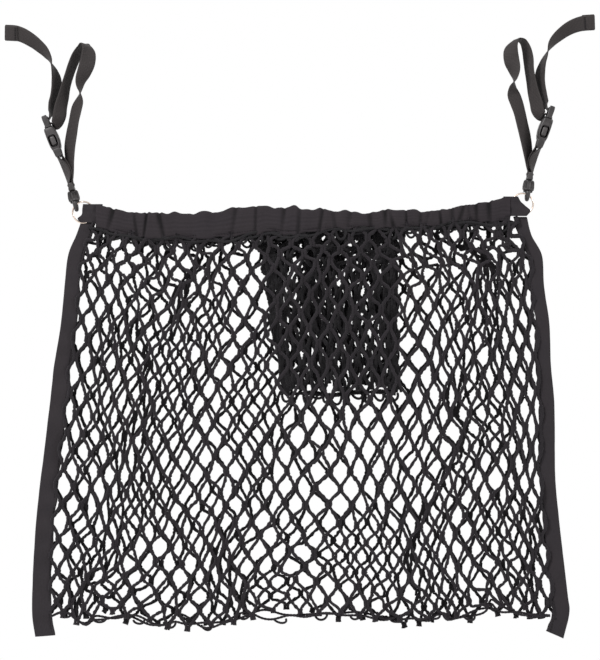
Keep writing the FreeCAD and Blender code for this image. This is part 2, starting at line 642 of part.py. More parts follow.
def add_short_strap(side):
    """The webbing loop that links the socket's foot bar to the hook's eye."""
    upper = buckle_place(side).multVec(V(0, 0, -dim("foot_bar_drop")))
    lower = hook_place(side).multVec(V(0, 0, -dim("eye_bar_drop")))
    span = (upper - lower).Length
    tilt = math.degrees(math.atan2(upper.x - lower.x, upper.z - lower.z))
    loops = []
    for ply in ("web_clear + web_ply", "web_clear"):
        radius = f"foot_bar_radius + {ply}"
        middle = make("Box", Length=f"2 * ( {radius} )", Width="web_width",
                      Placement__Base__x=f"0 - ( {radius} )", Placement__Base__y="0 - web_width / 2")
        middle.Height = span
        ends = []
        for height in (0, span):
            end = make("Cylinder", Radius=radius, Height="web_width",
                       Placement__Base__y="web_width / 2")
            end.Placement = FreeCAD.Placement(V(0, dim("web_width") / 2, height),
                                              FreeCAD.Rotation(X_AXIS, 90))
            ends.append(end)
        loops.append(fuse(middle, *ends))
    place = FreeCAD.Placement(lower, FreeCAD.Rotation(Y_AXIS, tilt))
    node(cut(*loops), f"{side}_short_strap", place)


def build():
    """Make every sub-part of the bag."""
    fill_sheet()
    add_nets()
    add_mouth()
    add_pocket()
    for side, leg, tail in (("left", LEFT_LEG, LEFT_TAIL), ("right", RIGHT_LEG, RIGHT_TAIL)):
        add_side_tape(side)
        add_ring(side)
        add_long_strap(side, leg, tail)
        add_short_strap(side)
        add_buckle_ladder(side)
        add_buckle_socket(side)
        for face in ("front", "back"):
            add_buckle_arm(side, face)
        add_hook_eye(side)
        add_hook_body(side)
        add_hook_gate(side)
    doc.recompute()


def check():
    """Stop if the document or a sub-part's shape is not sound."""
    for item in doc.Objects:
        if "Invalid" in item.State or "Error" in item.State:
            raise RuntimeError(f"{item.Name} ({item.Label}) did not compute: {item.State}")
    for item in nodes:
        if item.Shape.isNull() or not item.Shape.isValid():
            raise RuntimeError(f"{item.Label} has no valid shape")


def write():
    """Write each sub-part to its own file."""
    os.makedirs("parts", exist_ok=True)
    for item in nodes:
        item.Shape.exportStep(os.path.join("parts", f"{item.Label}.step"))
        box_mm = item.Shape.BoundBox
        print(f"{item.Label}: {len(item.Shape.Solids)} solid(s), {item.Shape.Volume:.0f} mm3, "
              f"x {box_mm.XMin:.1f}..{box_mm.XMax:.1f} y {box_mm.YMin:.1f}..{box_mm.YMax:.1f} "
              f"z {box_mm.ZMin:.1f}..{box_mm.ZMax:.1f}")


build()
check()
write()
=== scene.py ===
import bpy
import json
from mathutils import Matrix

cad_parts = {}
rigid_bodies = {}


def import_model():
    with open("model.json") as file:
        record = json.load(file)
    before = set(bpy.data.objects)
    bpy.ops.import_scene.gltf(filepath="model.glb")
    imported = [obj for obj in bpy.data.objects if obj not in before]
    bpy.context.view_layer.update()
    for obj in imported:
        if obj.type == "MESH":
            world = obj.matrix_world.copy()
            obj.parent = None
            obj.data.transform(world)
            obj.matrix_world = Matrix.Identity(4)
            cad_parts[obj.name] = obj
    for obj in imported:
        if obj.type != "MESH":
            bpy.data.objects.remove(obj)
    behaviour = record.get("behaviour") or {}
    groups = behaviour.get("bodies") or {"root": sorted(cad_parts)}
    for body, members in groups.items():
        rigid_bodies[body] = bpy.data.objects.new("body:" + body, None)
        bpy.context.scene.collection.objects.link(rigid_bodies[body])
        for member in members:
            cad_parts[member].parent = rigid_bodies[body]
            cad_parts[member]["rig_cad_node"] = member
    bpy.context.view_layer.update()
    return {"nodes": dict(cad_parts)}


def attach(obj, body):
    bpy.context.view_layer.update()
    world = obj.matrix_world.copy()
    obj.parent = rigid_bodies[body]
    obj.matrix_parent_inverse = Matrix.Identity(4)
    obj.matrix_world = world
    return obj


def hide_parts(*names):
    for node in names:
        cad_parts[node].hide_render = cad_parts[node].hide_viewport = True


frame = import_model()

import json
import logging
import math
from dataclasses import dataclass, field
from enum import Enum
from typing import Callable, Sequence

import bmesh
import bpy
import numpy as np
from mathutils import Matrix, Vector

# A hanging net bag: gathered mouth tape, folded side tapes, knotless netting in two layers, an
# inner net pocket, and two webbing hangers with buckles and hooks. Metres, +Y to the back, +Z up.

LOG = logging.getLogger("net_bag")
MM = 0.001
WAVES = 9                   # how many waves add up to a wandering
CORD_SWELL = 0.1            # how much a cord's radius swells and shrinks, as a share
TAPE_LINING = 0.0009        # how thick the mouth tape is
SEAM_LEVEL = -0.72          # where its seam runs, from -1 at its foot to 1 at its top
RIGHT_TAPE_SHARE = 0.88     # the right side tape's width against the left's
TAIL_HEM = 0.0115           # how far a long strap's end is folded back
STITCH_SHARE = 0.72         # how much of a stitch's pitch shows as thread
THREAD_LIFT = 0.1 * MM      # how far a strap's sewing stands off its face
STITCH = 1.9 * MM           # a strap's sewing, from one stitch to the next
TACK_STITCH = 1.7 * MM
SHORT_LOOP = 2.75 * MM      # a short strap's middle line about its bars
SHORT_PINCH = 0.85 * MM     # half the gap between its plies halfway down
SHORT_TWIST = 29            # its roll halfway down, in degrees
SHORT_BOW = 0.0021          # how far it bows sideways
Colour = tuple[float, float, float]
Link = "Signal | float | Sequence[float]"


class Side(Enum):
    """Which of the bag's two sides a piece belongs to; the value points outwards along X."""

    LEFT = -1
    RIGHT = 1

    @property
    def word(self) -> str:
        """The side's name as the nodes and bodies use it."""
        return self.name.lower()


class Face(Enum):
    """Which of the bag's two faces a piece belongs to; the value points outwards along Y."""

    FRONT = -1
    BACK = 1

    @property
    def word(self) -> str:
        """The face's name as the nodes use it."""
        return self.name.lower()


# ---------------------------------------------------------------------------------------------
# Shading
# ---------------------------------------------------------------------------------------------


class Signal:
    """A number, colour or vector on its way through a node tree, with arithmetic for numbers."""

    def __init__(self, graph: "Graph", socket: bpy.types.NodeSocket) -> None:
        """Keep the socket and the graph that it belongs to.

        Args:
            graph: The node tree's builder.
            socket: An output socket in that tree.
        """
        self.graph = graph
        self.socket = socket

    def _math(self, operation: str, first: Link, second: Link) -> "Signal":
        """Add a Math node.

        Args:
            operation: The node's operation.
            first: Its first value.
            second: Its second value.

        Returns:
            The result.
        """
        return self.graph.add("ShaderNodeMath", {"operation": operation}, {0: first, 1: second})

    def __add__(self, other: Link) -> "Signal":
        """Sum."""
        return self._math("ADD", self, other)

    def __sub__(self, other: Link) -> "Signal":
        """Difference."""
        return self._math("SUBTRACT", self, other)

    def __rsub__(self, other: Link) -> "Signal":
        """Difference from a plain number."""
        return self._math("SUBTRACT", other, self)

    def __mul__(self, other: Link) -> "Signal":
        """Product."""
        return self._math("MULTIPLY", self, other)

    def __truediv__(self, other: Link) -> "Signal":
        """Quotient."""
        return self._math("DIVIDE", self, other)

    def __pow__(self, other: Link) -> "Signal":
        """Power."""
        return self._math("POWER", self, other)

    __radd__, __rmul__ = __add__, __mul__

    def wave(self) -> "Signal":
        """The sine, moved to run from 0 to 1."""
        return self._math("SINE", self, 0.0) * 0.5 + 0.5


class Graph:
    """A material's node tree, built from calls that return signals."""

    def __init__(self, name: str) -> None:
        """Start a material with an empty tree.

        Args:
            name: The material's name.
        """
        self.material = bpy.data.materials.new(name)
        self.material.use_nodes = True
        self.tree = self.material.node_tree
        self.tree.nodes.clear()

    def add(self, kind: str, settings: dict | None = None, inputs: dict | None = None,
            output: int | str = 0) -> Signal:
        """Add any node.

        Args:
            kind: The node's type.
            settings: Its properties, which are set first; "stops" fills a colour ramp.
            inputs: Values or signals by socket number or name.
            output: Which output to return.

        Returns:
            The chosen output.
        """
        node = self.tree.nodes.new(kind)
        for key, value in (settings or {}).items():
            if key == "stops":
                for stop, (place, colour) in zip(range(len(value)), value):
                    ramp = node.color_ramp.elements
                    element = ramp[stop] if stop < len(ramp) else ramp.new(place)
                    element.position, element.color = place, (*colour, 1)
            else:
                setattr(node, key, value)
        for key, value in (inputs or {}).items():
            if isinstance(value, Signal):
                self.tree.links.new(value.socket, node.inputs[key])
            else:
                node.inputs[key].default_value = value
        return Signal(self, node.outputs[output])

    def blend(self, share: Link, first: Link, second: Link) -> Signal:
        """Mix two colours.

        Args:
            share: How much of the second, from 0 to 1.
            first: The colour at 0, four numbers or a signal.
            second: The colour at 1.

        Returns:
            The mixed colour.
        """
        return self.add("ShaderNodeMix", {"data_type": "RGBA"},
                        {0: share, 6: first, 7: second}, output=2)

    def noise(self, place: Signal, scale: float, detail: float = 2.0) -> Signal:
        """Soft noise over a coordinate, from 0 to 1."""
        return self.add("ShaderNodeTexNoise", {}, {"Vector": place, "Scale": scale,
                                                   "Detail": detail, "Roughness": 0.55})

    def spread(self, value: Signal, low: float, high: float) -> Signal:
        """A value stretched so that low becomes 0 and high becomes 1, and held between them."""
        return self.add("ShaderNodeMapRange", {"clamp": True}, {0: value, 1: low, 2: high})

    def along(self) -> tuple[Signal, Signal]:
        """The two surface coordinates, in metres: along the piece and across it."""
        place = self.add("ShaderNodeUVMap", {"uv_map": "cloth"})
        parts = self.tree.nodes.new("ShaderNodeSeparateXYZ")
        self.tree.links.new(place.socket, parts.inputs[0])
        return Signal(self, parts.outputs[0]), Signal(self, parts.outputs[1])

    def place(self) -> Signal:
        """The object's own coordinates, in metres."""
        return self.add("ShaderNodeTexCoord", {}, {}, output="Object")

    def bump(self, height: Signal, depth: float, strength: float = 1.0,
             under: Signal | None = None) -> Signal:
        """A normal from a height of 0 to 1.

        Args:
            height: The relief.
            depth: How far it rises, in metres.
            strength: How much of it is felt.
            under: A normal to build on.

        Returns:
            The normal.
        """
        inputs = {"Height": height, "Distance": depth, "Strength": strength}
        if under is not None:
            inputs["Normal"] = under
        return self.add("ShaderNodeBump", {}, inputs)

    def finish(self, values: dict) -> bpy.types.Material:
        """Close the tree with a Principled shader.

        Args:
            values: Values or signals for the shader's sockets.

        Returns:
            The finished material.
        """
        shader = self.add("ShaderNodeBsdfPrincipled", {}, values)
        node = self.tree.nodes.new("ShaderNodeOutputMaterial")
        self.tree.links.new(shader.socket, node.inputs["Surface"])
        return self.material


def shade(colour: Colour, factor: float) -> tuple[float, float, float, float]:
    """A colour made lighter or darker, with its alpha.

    Args:
        colour: Linear red, green and blue.
        factor: How much lighter.

    Returns:
        The colour with an alpha of 1.
    """
    return (*(min(1.0, part * factor) for part in colour), 1.0)


@dataclass(frozen=True)
class YarnFinish:
    """Soft-spun black cord, knitted round, with loose fibres."""

    name: str = "net_yarn"
    colour: Colour = (0.0134, 0.0117, 0.0134)
    stitch: float = 1.9 * MM
    relief: float = 0.45 * MM

    def make(self) -> bpy.types.Material:
        """The material: stitches that lean round the cord, with painted shade in their valleys."""
        graph = Graph(self.name)
        run, around = graph.along()
        turn = 2 * math.pi / self.stitch
        lean = (run * turn + around * (2 * math.pi)).wave()
        back = (run * turn - around * (2 * math.pi)).wave()
        stitches = lean * back
        fuzz = graph.noise(graph.place(), 900.0, 3.0)
        patches = graph.noise(graph.place(), 38.0, 2.0)
        # painted shade: the stitches' valleys are darkened in the colour and their crests lightened
        colour = graph.blend(stitches * 0.6 + fuzz * 0.4, shade(self.colour, 0.25),
                             shade(self.colour, 1.7))
        colour = graph.blend(graph.spread(patches, 0.35, 0.75) * 0.5, colour,
                             shade(self.colour, 1.15))
        normal = graph.bump(stitches, self.relief, 0.8)
        normal = graph.bump(fuzz, 0.12 * MM, 0.6, normal)
        return graph.finish({
            "Base Color": colour, "Roughness": 0.86 + 0.1 * fuzz, "Normal": normal,
            "Sheen Weight": 0.06, "Sheen Roughness": 0.5, "Sheen Tint": (0.75, 0.70, 0.76, 1.0),
            "Specular IOR Level": 0.08,
        })


@dataclass(frozen=True)
class TapeFinish:
    """Flat woven tape with fine ribs across it and a faint grid."""

    name: str = "woven_tape"
    colour: Colour = (0.0118, 0.0098, 0.0115)
    warp: float = 1.15 * MM
    weft: float = 1.0 * MM
    relief: float = 0.16 * MM

    def make(self) -> bpy.types.Material:
        """The material: a plain weave with uneven, slightly brown threads, and painted shade where
        a mesh marks its pucker creases.
        """
        graph = Graph(self.name)
        run, across = graph.along()
        weft = (run * (2 * math.pi / self.weft)).wave()
        warp = (across * (2 * math.pi / self.warp)).wave()
        weave = weft * 0.55 + warp * 0.45
        threads = graph.noise(graph.place(), 420.0, 3.0)
        patches = graph.spread(graph.noise(graph.place(), 26.0, 3.0), 0.3, 0.75)
        colour = graph.blend(weave * 0.55 + threads * 0.45, shade(self.colour, 0.5),
                             shade(self.colour, 1.5))
        colour = graph.blend(patches * 0.4, colour, (0.0145, 0.0114, 0.0121, 1.0))
        # painted shade: the colour darkens towards a quarter of the tape's tone in the marked
        # pucker creases
        crease = graph.add("ShaderNodeAttribute", {"attribute_name": "crease"}, output="Fac")
        colour = graph.blend(graph.spread(crease, 0.1, 0.9), colour, shade(self.colour, 0.25))
        normal = graph.bump(weave, self.relief, 0.7)
        normal = graph.bump(threads, 0.1 * MM, 0.5, normal)
        return graph.finish({
            "Base Color": colour, "Roughness": 0.84 + 0.1 * threads, "Normal": normal,
            "Sheen Weight": 0.05, "Sheen Roughness": 0.45, "Sheen Tint": (0.8, 0.74, 0.8, 1.0),
            "Specular IOR Level": 0.12,
        })


@dataclass(frozen=True)
class WebbingFinish:
    """Ribbed webbing: rows of float stitches run along it, between bound edges."""

    name: str = "ribbed_webbing"
    colour: Colour = (0.0190, 0.0160, 0.0158)
    rib: float = 1.35 * MM
    relief: float = 0.3 * MM

    def make(self) -> bpy.types.Material:
        """The material: ribs across the strap, broken by lengthwise rows."""
        graph = Graph(self.name)
        run, across = graph.along()
        ribs = (run * (2 * math.pi / self.rib)).wave()
        rows = (across * (2 * math.pi / (2.3 * MM))).wave()
        height = ribs * (0.55 + 0.45 * rows)
        threads = graph.noise(graph.place(), 520.0, 3.0)
        colour = graph.blend(height * 0.6 + threads * 0.3, shade(self.colour, 0.55),
                             shade(self.colour, 1.5))
        normal = graph.bump(height, self.relief, 0.85)
        return graph.finish({
            "Base Color": colour, "Roughness": 0.62 + 0.25 * threads, "Normal": normal,
            "Sheen Weight": 0.05, "Sheen Roughness": 0.4, "Specular IOR Level": 0.18,
        })


@dataclass(frozen=True)
class ThreadFinish:
    """Twisted sewing thread."""

    name: str = "sewing_thread"
    colour: Colour = (0.0085, 0.0075, 0.0085)

    def make(self) -> bpy.types.Material:
        """The material: slanting plies."""
        graph = Graph(self.name)
        run, around = graph.along()
        ply = (run * (2 * math.pi / (0.7 * MM)) + around * (2 * math.pi)).wave()
        colour = graph.blend(ply, shade(self.colour, 0.6), shade(self.colour, 1.7))
        return graph.finish({"Base Color": colour, "Roughness": 0.8 + 0.1 * ply,
                             "Specular IOR Level": 0.08, "Normal": graph.bump(ply, 0.1 * MM, 0.7)})


@dataclass(frozen=True)
class MouldedFinish:
    """Injection-moulded black plastic with a fine spark texture and rubbed edges."""

    name: str = "moulded_plastic"
    colour: Colour = (0.0165, 0.0146, 0.0148)

    def make(self) -> bpy.types.Material:
        """The material: satin, a little lighter where it is worn."""
        graph = Graph(self.name)
        grain = graph.noise(graph.place(), 2600.0, 2.0)
        handling = graph.spread(graph.noise(graph.place(), 140.0, 3.0), 0.35, 0.75)
        flow = graph.noise(graph.place(), 60.0, 1.0)
        colour = graph.blend(handling * 0.6 + flow * 0.2, shade(self.colour, 0.55),
                             shade(self.colour, 1.5))
        return graph.finish({
            "Base Color": colour, "Roughness": 0.34 + 0.2 * handling + 0.08 * grain,
            "Normal": graph.bump(grain, 0.06 * MM, 0.5), "Specular IOR Level": 0.3,
        })


@dataclass(frozen=True)
class WireFinish:
    """Thin plated wire with a warm, copper-tinged shine."""

    name: str = "plated_wire"
    colour: Colour = (0.50, 0.42, 0.36)

    def make(self) -> bpy.types.Material:
        """The material: drawn metal with dull spots."""
        graph = Graph(self.name)
        spots = graph.spread(graph.noise(graph.place(), 480.0, 3.0), 0.45, 0.8)
        colour = graph.blend(spots * 0.7, shade(self.colour, 1.1), (0.42, 0.30, 0.25, 1.0))
        return graph.finish({
            "Base Color": colour, "Metallic": 1.0, "Roughness": 0.2 + 0.25 * spots,
            "Normal": graph.bump(spots, 0.05 * MM, 0.4),
        })


@dataclass(frozen=True)
class ElasticFinish:
    """Flat braided elastic, seen only at the ends of the mouth's casings."""

    name: str = "braided_elastic"
    colour: Colour = (0.03, 0.03, 0.031)

    def make(self) -> bpy.types.Material:
        """The material: lengthwise rubber cores under a braid."""
        graph = Graph(self.name)
        cores = graph.add("ShaderNodeTexWave", {"bands_direction": "Z"},
                          {"Vector": graph.place(), "Scale": 250.0, "Distortion": 1.2})
        colour = graph.blend(cores, shade(self.colour, 0.6), shade(self.colour, 1.8))
        return graph.finish({"Base Color": colour, "Roughness": 0.7 + 0.2 * cores,
                             "Normal": graph.bump(cores, 0.2 * MM, 0.6)})


@dataclass(frozen=True)
class StudioFinish:
    """Pale, even paper for the floor."""

    name: str = "studio_paper"
    colour: Colour = (0.86, 0.86, 0.86)

    def make(self) -> bpy.types.Material:
        """The material: a barely uneven matt white."""
        graph = Graph(self.name)
        tone = graph.noise(graph.place(), 3.0, 2.0)
        colour = graph.blend(tone, shade(self.colour, 0.985), shade(self.colour, 1.0))
        return graph.finish({"Base Color": colour, "Roughness": 0.9})


class Wardrobe:
    """Every finish, made once and handed out by the record's slot."""

    def __init__(self) -> None:
        """Make the materials."""
        self.by_slot = {
            "net_cord": YarnFinish().make(),
            # painted shade: a darker copy of the net yarn for the back layer, which lies in shade
            # behind the front
            "back_cord": YarnFinish("back_yarn", (0.0092, 0.0083, 0.0092)).make(),
            # painted shade: a darker copy of the net yarn for the inner pocket and the nets'
            # headings, which lie in shade
            "pocket_cord": YarnFinish("pocket_yarn", (0.0105, 0.0100, 0.0108)).make(),
            "band_tape": TapeFinish().make(),
            "side_tape": TapeFinish("side_tape_weave", (0.0121, 0.0105, 0.0121)).make(),
            "webbing": WebbingFinish().make(),
            "thread": ThreadFinish().make(),
            "elastic": ElasticFinish().make(),
            "buckle_plastic": MouldedFinish("buckle_moulding").make(),
            "buckle_pad": MouldedFinish("pad_moulding", (0.034, 0.031, 0.031)).make(),
            "hook_plastic": MouldedFinish("hook_moulding", (0.0165, 0.0147, 0.0147)).make(),
            "ring_metal": WireFinish().make(),
        }

    def dress(self, piece: bpy.types.Object, slot: str, finish: str = "") -> bpy.types.Object:
        """Give a piece the finish of one of the record's slots.

        Args:
            piece: The piece.
            slot: The slot's name.
            finish: Another finish to wear, where it isn't the slot's usual one.

        Returns:
            The same piece.
        """
        piece.data.materials.clear()
        piece.data.materials.append(self.by_slot[finish or slot])
        "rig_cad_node" not in piece
        return piece


# ---------------------------------------------------------------------------------------------
# Meshes
# ---------------------------------------------------------------------------------------------


@dataclass
class Cloth:
    """Vertices, four-sided faces and surface coordinates that gather into one piece."""

    points: list[np.ndarray] = field(default_factory=list)
    quads: list[np.ndarray] = field(default_factory=list)
    marks: list[np.ndarray] = field(default_factory=list)
    count: int = 0

    def grid(self, points: np.ndarray, run: np.ndarray, across: np.ndarray,
             closed_run: bool = False, closed_across: bool = False) -> None:
        """Add a grid of faces.

        Args:
            points: Rows by columns by three.
            run: The coordinate along each row's place, in metres, one for each grid line.
            across: The coordinate across, one for each column line.
            closed_run: Whether the last row joins the first.
            closed_across: Whether the last column joins the first.
        """
        rows, columns = points.shape[:2]
        index = np.arange(rows * columns).reshape(rows, columns) + self.count
        i = np.arange(rows if closed_run else rows - 1)
        j = np.arange(columns if closed_across else columns - 1)
        i, j = np.meshgrid(i, j, indexing="ij")
        i, j = i.ravel(), j.ravel()
        after, beside = (i + 1) % rows, (j + 1) % columns
        self.quads.append(np.stack([index[i, j], index[i, beside], index[after, beside],
                                    index[after, j]], axis=1))
        u0, u1, v0, v1 = run[i], run[i + 1], across[j], across[j + 1]
        self.marks.append(np.stack([np.stack([u0, v0], 1), np.stack([u0, v1], 1),
                                    np.stack([u1, v1], 1), np.stack([u1, v0], 1)], axis=1))
        self.points.append(points.reshape(-1, 3))
        self.count += rows * columns

    def cap(self, ring: np.ndarray, flip: bool) -> None:
        """Close an even-sided ring of vertex numbers with a strip of faces.

        Args:
            ring: Vertex numbers in order round the opening.
            flip: Whether to turn the faces over.
        """
        half = len(ring) // 2
        faces = [(ring[k], ring[k + 1], ring[-k - 2], ring[-k - 1]) for k in range(half - 1)]
        faces = np.array(faces)
        self.quads.append(faces[:, ::-1] if flip else faces)
        self.marks.append(np.zeros((len(faces), 4, 2)))

    def close_ends(self, start: int, sides: int, rows: int) -> None:
        """Close the first and last rows of a grid.

        Args:
            start: The grid's first vertex number.
            sides: How many vertices a row has.
            rows: How many rows there are.
        """
        first = np.arange(start, start + sides)
        self.cap(first, False)
        self.cap(first + (rows - 1) * sides, True)

    def tube(self, path: np.ndarray, wide: np.ndarray, thick: np.ndarray, sides: int = 8,
             toward: Sequence[float] = (0, 1, 0), closed: bool = False) -> None:
        """Add an oval tube along a path.

        Args:
            path: Its points.
            wide: Half its width at each point.
            thick: Half its thickness at each point, measured along toward.
            sides: How many faces it has round it.
            toward: The direction that its thickness lies along.
            closed: Whether it is a ring.
        """
        if closed:
            tangent = np.roll(path, -1, 0) - np.roll(path, 1, 0)
        else:
            tangent = np.gradient(path, axis=0)
        tangent /= np.linalg.norm(tangent, axis=1, keepdims=True) + 1e-12
        up = np.broadcast_to(np.asarray(toward, float), tangent.shape)
        side = np.cross(up, tangent)
        side /= np.linalg.norm(side, axis=1, keepdims=True) + 1e-12
        up = np.cross(tangent, side)
        angles = np.linspace(0, 2 * math.pi, sides, endpoint=False)
        c, s = np.cos(angles)[None, :, None], np.sin(angles)[None, :, None]
        ring = (path[:, None] + side[:, None] * (c * wide[:, None, None])
                + up[:, None] * (s * thick[:, None, None]))
        steps = np.linalg.norm(np.diff(path, axis=0), axis=1)
        run = np.concatenate([[0], np.cumsum(steps), [steps.sum() + steps[-1]]])
        start = self.count
        self.grid(ring, run, np.linspace(0, 1, sides + 1), closed_run=closed, closed_across=True)
        if not closed:
            self.close_ends(start, sides, len(path))

    def piece(self, name: str) -> bpy.types.Object:
        """Make the object, shaded smooth.

        Args:
            name: Its name.

        Returns:
            The linked object.
        """
        mesh = bpy.data.meshes.new(name)
        points = np.concatenate(self.points).astype(np.float32)
        quads = np.concatenate(self.quads).astype(np.int32)
        mesh.vertices.add(len(points))
        mesh.vertices.foreach_set("co", points.ravel())
        mesh.loops.add(quads.size)
        mesh.loops.foreach_set("vertex_index", quads.ravel())
        mesh.polygons.add(len(quads))
        mesh.polygons.foreach_set("loop_start", np.arange(0, quads.size, 4, dtype=np.int32))
        mesh.polygons.foreach_set("use_smooth", np.full(len(quads), True))
        mesh.update(calc_edges=True)
        cloth_map = mesh.uv_layers.new(name="cloth")
        cloth_map.data.foreach_set("uv", np.concatenate(self.marks).astype(np.float32).ravel())
        mesh.validate()
        item = bpy.data.objects.new(name, mesh)
        bpy.context.scene.collection.objects.link(item)
        LOG.info("%s: %d faces", name, len(quads))
        return item


def smooth_line(points: Sequence[Sequence[float]], steps: int) -> np.ndarray:
    """A smooth curve through given points.

    Args:
        points: The points.
        steps: How many points to give between each pair.

    Returns:
        The denser line, which passes through every point given.
    """
    given = np.asarray(points, float)
    padded = np.concatenate([[2 * given[0] - given[1]], given, [2 * given[-1] - given[-2]]])
    share = np.linspace(0, 1, steps, endpoint=False)[:, None]
    parts = []
    for a, b, c, d in zip(padded[:-3], padded[1:-2], padded[2:-1], padded[3:]):
        parts.append(0.5 * (2 * b + (c - a) * share + (2 * a - 5 * b + 4 * c - d) * share ** 2
                            + (3 * b - a - 3 * c + d) * share ** 3))
    return np.concatenate([*parts, given[-1:]])


def distances(points: np.ndarray) -> np.ndarray:
    """How far along a line each of its points is."""
    return np.concatenate([[0], np.cumsum(np.linalg.norm(np.diff(points, axis=0), axis=1))])


def knobbly(count: int) -> np.ndarray:
    """Factors that make a cord's radius swell and shrink from point to point."""
    return 1 + CORD_SWELL * np.where(np.arange(count) % 2 == 0, 1, -1)


def thickened(core: np.ndarray, ply: float, sign: int) -> np.ndarray:
    """A closed outline, one ply thick, about an open line in a section.

    Args:
        core: The line's points.
        ply: The thickness.
        sign: 1 or -1, for which way round the outline runs.

    Returns:
        The outline's points.
    """
    along = np.gradient(core, axis=0)
    along /= np.linalg.norm(along, axis=1, keepdims=True) + 1e-12
    normal = np.stack([along[:, 1], -along[:, 0]], 1) * sign
    return np.concatenate([core - normal * ply / 2, (core + normal * ply / 2)[::-1]])


class Ripple:
    """A smooth, repeatable wandering of a value over one or two coordinates."""

    def __init__(self, seed: int, longest: float, shortest: float) -> None:
        """Draw the waves.

        Args:
            seed: Which wandering it is.
            longest: The longest wavelength, in metres.
            shortest: The shortest wavelength.
        """
        draw = np.random.default_rng(seed)
        length = longest * (shortest / longest) ** draw.random(WAVES)
        angle = draw.random(WAVES) * 2 * math.pi
        self.kx = 2 * math.pi / length * np.cos(angle)
        self.kz = 2 * math.pi / length * np.sin(angle)
        self.phase = draw.random(WAVES) * 2 * math.pi
        self.gain = np.sqrt(length / length.mean()) / math.sqrt(WAVES / 2)

    def at(self, x: np.ndarray, z: np.ndarray | float = 0.0) -> np.ndarray:
        """The wandering at some places, of about unit size."""
        x, z = np.broadcast_arrays(np.asarray(x, float), np.asarray(z, float))
        turns = x[..., None] * self.kx + z[..., None] * self.kz + self.phase
        return (np.sin(turns) * self.gain).sum(-1)


# ---------------------------------------------------------------------------------------------
# The bag's outline, which its pieces share
# ---------------------------------------------------------------------------------------------


